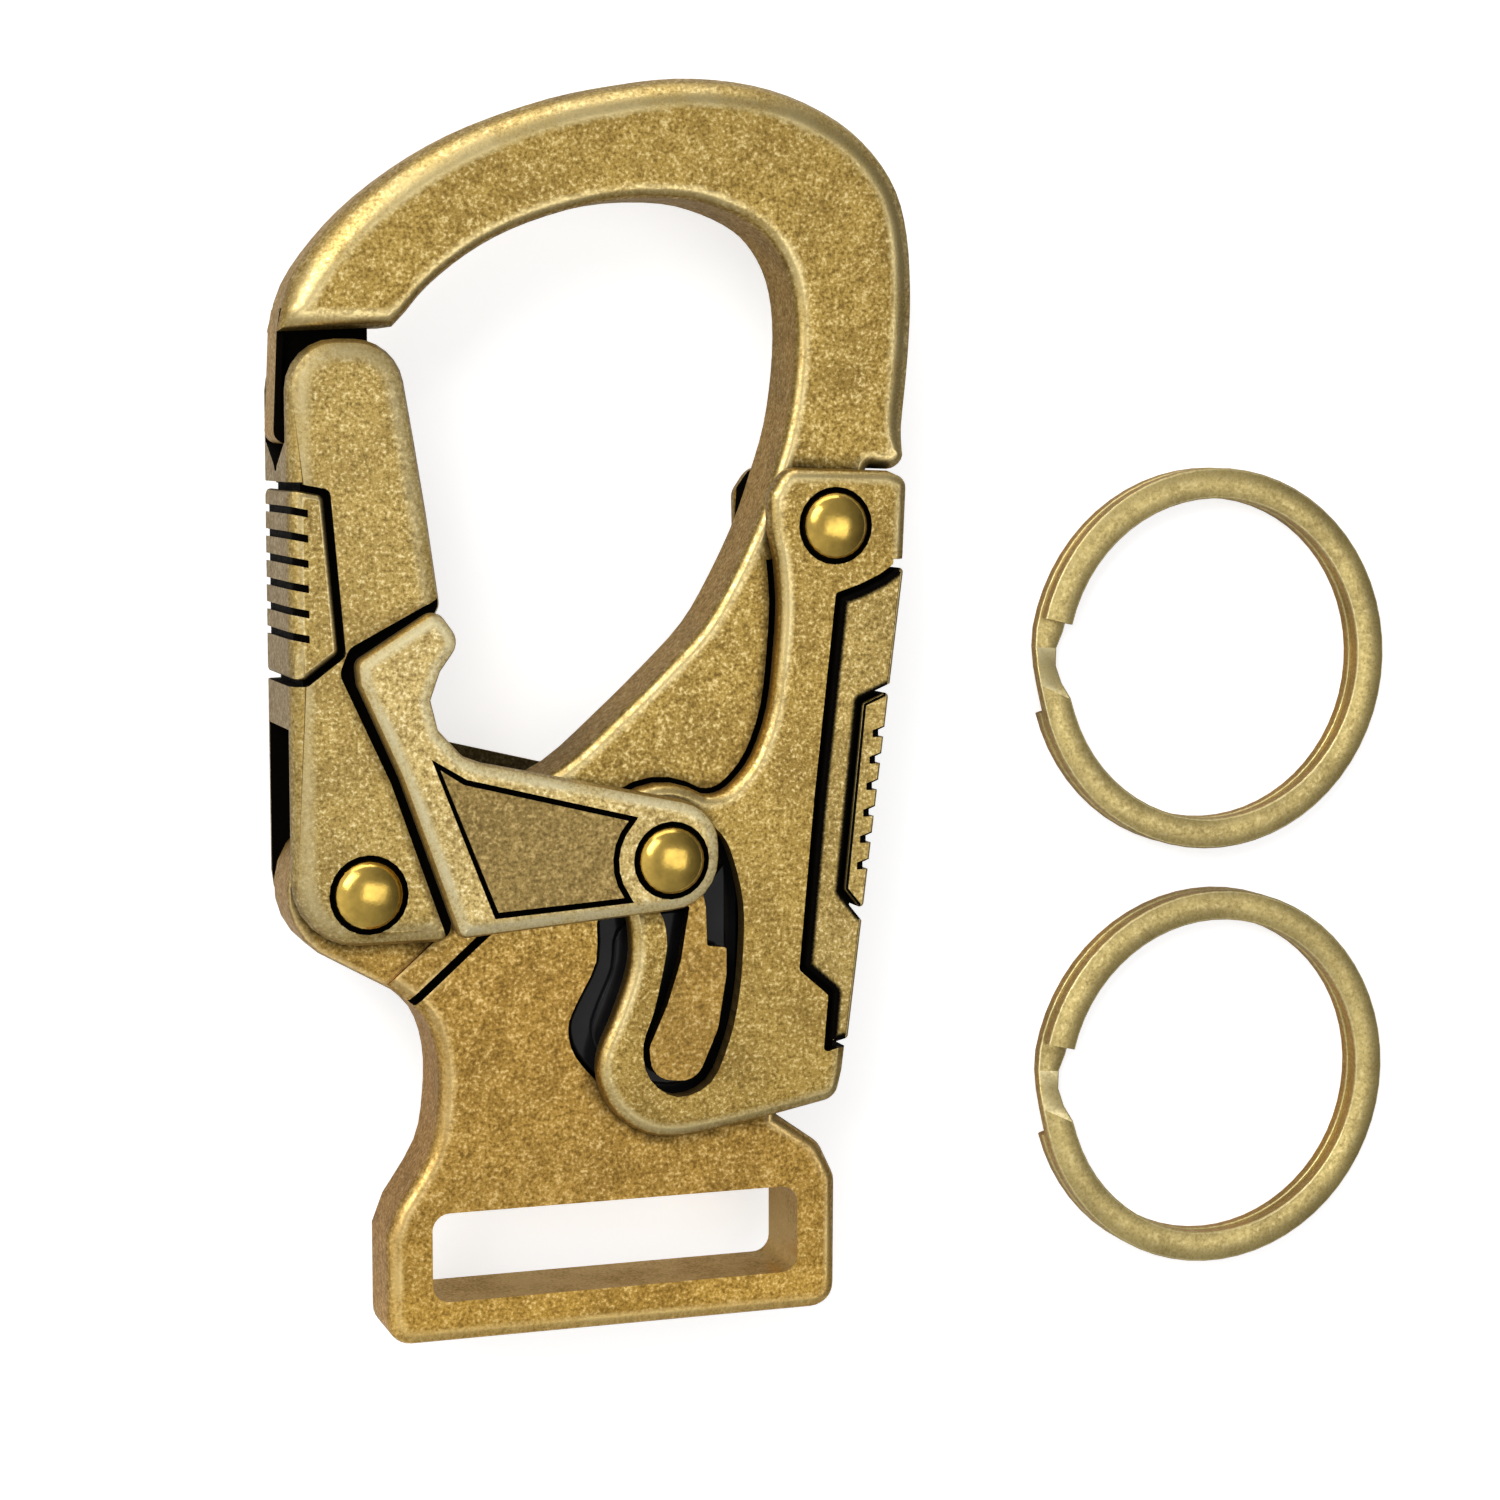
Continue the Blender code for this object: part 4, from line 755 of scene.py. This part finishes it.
def blended(tree, factor, one, two, way="MIX"):
    node = tree.nodes.new("ShaderNodeMix")
    node.data_type = "RGBA"
    node.blend_type = way
    for label, value in (("Factor", factor), ("A", one), ("B", two)):
        connect(tree, value, node.inputs[label])
    return node.outputs["Result"]


def add_relief(tree, shader, height, strength, depth):
    node = tree.nodes.new("ShaderNodeBump")
    node.inputs["Strength"].default_value = strength
    node.inputs["Distance"].default_value = depth
    tree.links.new(height, node.inputs["Height"])
    tree.links.new(node.outputs["Normal"], shader.inputs["Normal"])


# Antique brass

def sandy_grain(tree, place):
    """Fine and coarse grain in one, for pits, glints, gloss and relief."""
    fine = product(tree, noise(tree, place, *FINE_GRAIN), FINE_SHARE)
    coarse = product(tree, noise(tree, place, *COARSE_GRAIN), COARSE_SHARE)
    return total(tree, fine, coarse)


def rim_wear_and_highlight(tree, cloud, sand, wear_and_highlight):
    """Round rims rubbed bare and lit with a painted highlight, more in some patches than in others."""
    patches = ramp(tree, total(tree, cloud, product(tree, sand, PATCH_SAND)), *RIM_PATCHES)
    near = ramp(tree, attribute(tree, RIM), *RIM_REACH)
    return product(tree, product(tree, near, patches), wear_and_highlight)


def golden_foot(tree, place, amount):
    """Tint of the casting, golden from its waist down and brighter at its foot."""
    height = along(tree, place, "Y")
    gold = blended(tree, ramp(tree, height, *FOOT_RANGE), WAIST_TINT, FOOT_TINT)
    down = product(tree, ramp(tree, height, *WAIST_RANGE), amount)
    return blended(tree, down, NO_TINT, gold)


def antique_brass_group():
    """Buffed brass over dark patina: clouds, sandy grain with painted glints, pale worn rims with a painted
    highlight, side walls in painted shade and gaps black with patina and painted shade.
    """
    group, start, end = new_group(
        "antique_brass",
        [
            ("Face", "NodeSocketColor", (0.5, 0.4, 0.2, 1)),
            ("Patina", "NodeSocketColor", (0.25, 0.17, 0.07, 1)),
            ("Worn Highlight", "NodeSocketColor", (0.7, 0.6, 0.36, 1)),
            ("Shaded Wall", "NodeSocketColor", (0.35, 0.24, 0.1, 1)),
            ("Wear And Highlight", "NodeSocketFloat", 0.7),
            ("Grain", "NodeSocketFloat", 1.0),
            ("Gold Foot", "NodeSocketFloat", 0.0),
        ],
        [("Color", "NodeSocketColor"), ("Roughness", "NodeSocketFloat"), ("Height", "NodeSocketFloat")],
    )
    given = start.outputs
    place = object_place(group)
    cloud = noise(group, place, *CLOUD)
    sand = sandy_grain(group, place)
    wall = attribute(group, WALL)
    patina_and_shade = attribute(group, PATINA_AND_SHADE)
    worn_highlight = rim_wear_and_highlight(group, cloud, sand, given["Wear And Highlight"])
    pits = product(group, ramp(group, sand, *SAND_PITS), given["Grain"])
    glints = product(group, ramp(group, sand, *SAND_GLINTS), given["Grain"])
    glints = product(group, glints, ramp(group, wall, *WALL_GLINTS))

    # Side walls take a darker tone: painted shade
    tone = blended(group, wall, given["Face"], given["Shaded Wall"])
    tone = blended(group, ramp(group, cloud, *CLOUD_PATINA), tone, given["Patina"])
    tone = blended(group, pits, tone, given["Patina"])
    # Glints are painted highlights; worn rims are wear with a painted highlight
    tone = blended(group, glints, tone, given["Worn Highlight"])
    tone = blended(group, worn_highlight, tone, given["Worn Highlight"])
    tone = blended(group, 1.0, tone, golden_foot(group, place, given["Gold Foot"]), way="MULTIPLY")
    # Black of patina and painted shade over the tone
    tone = blended(group, patina_and_shade, tone, PATINA_AND_SHADE_TONE)

    rough = ramp(group, sand, *SAND_ROUGHNESS)
    rough = arithmetic(group, "SUBTRACT", rough, product(group, worn_highlight, WORN_POLISH))
    rough = total(group, rough, product(group, patina_and_shade, PATINA_AND_SHADE_ROUGHNESS))
    height = total(group, sand, product(group, cloud, CLOUD_RELIEF))
    for label, value in (("Color", tone), ("Roughness", rough), ("Height", height)):
        group.links.new(value, end.inputs[label])
    return group


def brass_material(name, group, tones, wear_and_highlight=0.8, grain=1.0, bump=0.5, gold_foot=0.0):
    made, tree, shader = new_material(name)
    brass = tree.nodes.new("ShaderNodeGroup")
    brass.node_tree = group
    for label, colour in tones.items():
        brass.inputs[label].default_value = (*colour, 1)
    for label, value in (("Wear And Highlight", wear_and_highlight), ("Grain", grain), ("Gold Foot", gold_foot)):
        brass.inputs[label].default_value = value
    tree.links.new(brass.outputs["Color"], shader.inputs["Base Color"])
    tree.links.new(brass.outputs["Roughness"], shader.inputs["Roughness"])
    add_relief(tree, shader, brass.outputs["Height"], bump, BRASS_RELIEF)
    shader.inputs["Metallic"].default_value = 1.0
    return made


# Rivets, springs and the black insert

def smooth_material(name, colour, roughness, metallic, mottle, scale, bump=0.1, gloss=0.5):
    """Smooth finish with a faint mottle in colour, gloss and relief."""
    made, tree, shader = new_material(name)
    place = object_place(tree)
    cloud = noise(tree, place, scale, MOTTLE_DETAIL)
    deep = tuple(channel * (1 - mottle) for channel in colour)
    tone = blended(tree, ramp(tree, cloud, *MOTTLE_TONE), (*colour, 1), (*deep, 1))
    rough = ramp(tree, cloud, *MOTTLE_GLOSS, *(roughness * spread for spread in GLOSS_SPREAD))
    tree.links.new(tone, shader.inputs["Base Color"])
    tree.links.new(rough, shader.inputs["Roughness"])
    add_relief(tree, shader, noise(tree, place, scale * FINE_SCALE, FINE_DETAIL), bump, FINE_RELIEF)
    shader.inputs["Metallic"].default_value = metallic
    shader.inputs["Specular IOR Level"].default_value = gloss
    return made


def make_materials():
    brass = antique_brass_group()
    return {
        "body": brass_material("body_antique_brass", brass, BODY_TONES, gold_foot=1.0),
        "trigger": brass_material("trigger_antique_brass", brass, TRIGGER_TONES),
        "plate": brass_material("plate_antique_brass", brass, PLATE_TONES, wear_and_highlight=0.5),
        "lever": brass_material("lever_antique_brass", brass, LEVER_TONES),
        "panel": brass_material("panel_dark_brass", brass, PANEL_TONES, wear_and_highlight=0.3),
        "tail": brass_material("tail_golden_brass", brass, TAIL_TONES),
        "ring": brass_material("ring_pale_brass", brass, RING_TONES, wear_and_highlight=0.7, grain=0.45, bump=0.25),
        "rivet": smooth_material(
            "rivet_polished_gold", GOLD, roughness=0.20, metallic=1.0, mottle=0.35, scale=700.0, bump=0.2
        ),
        "steel": smooth_material(
            "spring_bright_steel", STEEL, roughness=0.28, metallic=1.0, mottle=0.2, scale=900.0
        ),
        "black": smooth_material(
            "insert_gloss_black", BLACK, roughness=0.14, metallic=0.0, mottle=0.3, scale=500.0, gloss=0.12
        ),
    }


# Pieces on each body

def merged_copy(node, name, net=None):
    """Copy of a CAD node whose loose triangles are joined into one skin, with a net over its outer faces."""
    mesh = bpy.data.meshes.new(name)
    form = bmesh.new()
    form.from_mesh(frame["nodes"][node].data)
    bmesh.ops.remove_doubles(form, verts=form.verts, dist=MERGE)
    if net:
        lay_net(form, node, **net)
    form.to_mesh(mesh)
    form.free()
    made = bpy.data.objects.new(name, mesh)
    bpy.context.collection.objects.link(made)
    return made


def dress(node, body, look, patina_and_shade=None, smooth=smooth_rims, net=None, moves_to=None):
    """Finished copy of a node on its body; a piece given moves_to keeps its place baked into its mesh and
    goes on no body.
    """
    piece = merged_copy(node, f"{node}_finished", net)
    paint(piece, patina_and_shade)
    smooth(piece)
    piece.data.materials.append(look)
    if moves_to:
        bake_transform(piece)
    else:
        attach(piece, body)
    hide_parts(node)
    return piece


def dress_hook(looks):
    dress("hook_body", "hook", looks["body"], body_patina_and_shade, net=BODY_NET)
    dress("spring_housing", "hook", looks["black"])
    for rivet in ("gate_rivet", "trigger_rivet"):
        dress(rivet, "hook", looks["rivet"], smooth=smooth_creased)
    dress("gate_spring", "hook", looks["steel"], smooth=smooth_creased, moves_to="gate")
    coil = dress("trigger_spring", "hook", looks["steel"], smooth=smooth_creased)
    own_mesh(coil)
    for ring in ("key_ring_upper", "key_ring_lower"):
        dress(ring, "hook", looks["ring"], smooth=smooth_band)


def dress_gate(looks):
    dress("gate_channel", "gate", looks["plate"], gate_patina_and_shade, net=GATE_NET)
    dress("gate_thumb_pad", "gate", looks["plate"], pad_patina_and_shade)


def dress_lever(looks):
    for plate in ("lever_front", "lever_back"):
        dress(plate, "lever", looks["lever"], lever_patina_and_shade, net=LEVER_NET)
    for panel in ("lever_panel_front", "lever_panel_back"):
        dress(panel, "lever", looks["panel"])
    dress("lever_rivet", "lever", looks["rivet"], smooth=smooth_creased)
    for tail in ("lock_tail_front", "lock_tail_back"):
        dress(tail, "lever", looks["tail"])


def dress_trigger(looks):
    dress("trigger_channel", "trigger", looks["trigger"], trigger_patina_and_shade, net=TRIGGER_NET)
    dress("grip_strip", "trigger", looks["plate"], inlay_patina_and_shade("grip_strip"), net=STRIP_NET)
    dress("grip_pad", "trigger", looks["plate"], inlay_patina_and_shade("grip_pad"))


# Studio

def make_camera():
    lens = bpy.data.cameras.new("camera")
    lens.lens = CAMERA_LENS
    lens.sensor_width = CAMERA_SENSOR
    lens.clip_start = CAMERA_NEAREST
    camera = bpy.data.objects.new("camera", lens)
    bpy.context.collection.objects.link(camera)
    right = Vector((math.cos(CAMERA_YAW), 0, math.sin(CAMERA_YAW)))
    back = Vector((
        -math.sin(CAMERA_YAW) * math.cos(CAMERA_PITCH),
        math.sin(CAMERA_PITCH),
        math.cos(CAMERA_YAW) * math.cos(CAMERA_PITCH),
    ))
    turn = Matrix((right, back.cross(right), back)).transposed().to_4x4()
    camera.matrix_world = Matrix.Translation(CAMERA_PLACE) @ turn
    bpy.context.scene.camera = camera


def make_floor():
    """Pale floor that shows white to the camera where it is lit and keeps a soft shadow."""
    mesh = bpy.data.meshes.new("studio_floor")
    corners = [(x * FLOOR_REACH, y * FLOOR_REACH, 0) for x, y in ((-1, -1), (1, -1), (1, 1), (-1, 1))]
    mesh.from_pydata(corners, [], [(0, 1, 2, 3)])
    floor = bpy.data.objects.new("studio_floor", mesh)
    bpy.context.collection.objects.link(floor)
    white, tree, shader = new_material("floor_white")
    shader.inputs["Base Color"].default_value = FLOOR_TONE
    shader.inputs["Roughness"].default_value = FLOOR_ROUGHNESS
    shader.inputs["Emission Color"].default_value = WHITE
    seen = tree.nodes.new("ShaderNodeLightPath").outputs["Is Camera Ray"]
    tree.links.new(product(tree, seen, FLOOR_GLOW), shader.inputs["Emission Strength"])
    mesh.materials.append(white)


def make_softboxes():
    for name, (place, size, power) in SOFTBOXES.items():
        lamp = bpy.data.lights.new(name, "AREA")
        lamp.shape = "RECTANGLE"
        lamp.size, lamp.size_y = size
        lamp.energy = power
        softbox = bpy.data.objects.new(name, lamp)
        bpy.context.collection.objects.link(softbox)
        softbox.location = place
        towards = Vector(SOFTBOX_AIM) - Vector(place)
        softbox.rotation_euler = towards.to_track_quat("-Z", "Y").to_euler()


def make_room():
    """Light from all round that fades from left to right, and plain white to the camera."""
    world = bpy.data.worlds.new("studio")
    bpy.context.scene.world = world
    world.use_nodes = True
    tree = world.node_tree
    backdrop = tree.nodes["Background"]
    backdrop.inputs["Color"].default_value = WHITE
    sideways = along(tree, tree.nodes.new("ShaderNodeTexCoord").outputs["Generated"], "X")
    room = ramp(tree, sideways, -1.0, 1.0, ROOM_LEFT, ROOM_RIGHT)
    seen = tree.nodes.new("ShaderNodeLightPath").outputs["Is Camera Ray"]
    tree.links.new(ramp(tree, seen, 0.0, 1.0, room, 1.0), backdrop.inputs["Strength"])


ways_out = hemisphere()
surfaces = all_surfaces()
looks = make_materials()
dress_hook(looks)
dress_gate(looks)
dress_lever(looks)
dress_trigger(looks)
make_floor()
make_softboxes()
make_room()
make_camera()
bpy.context.scene.view_settings.view_transform = "Standard"
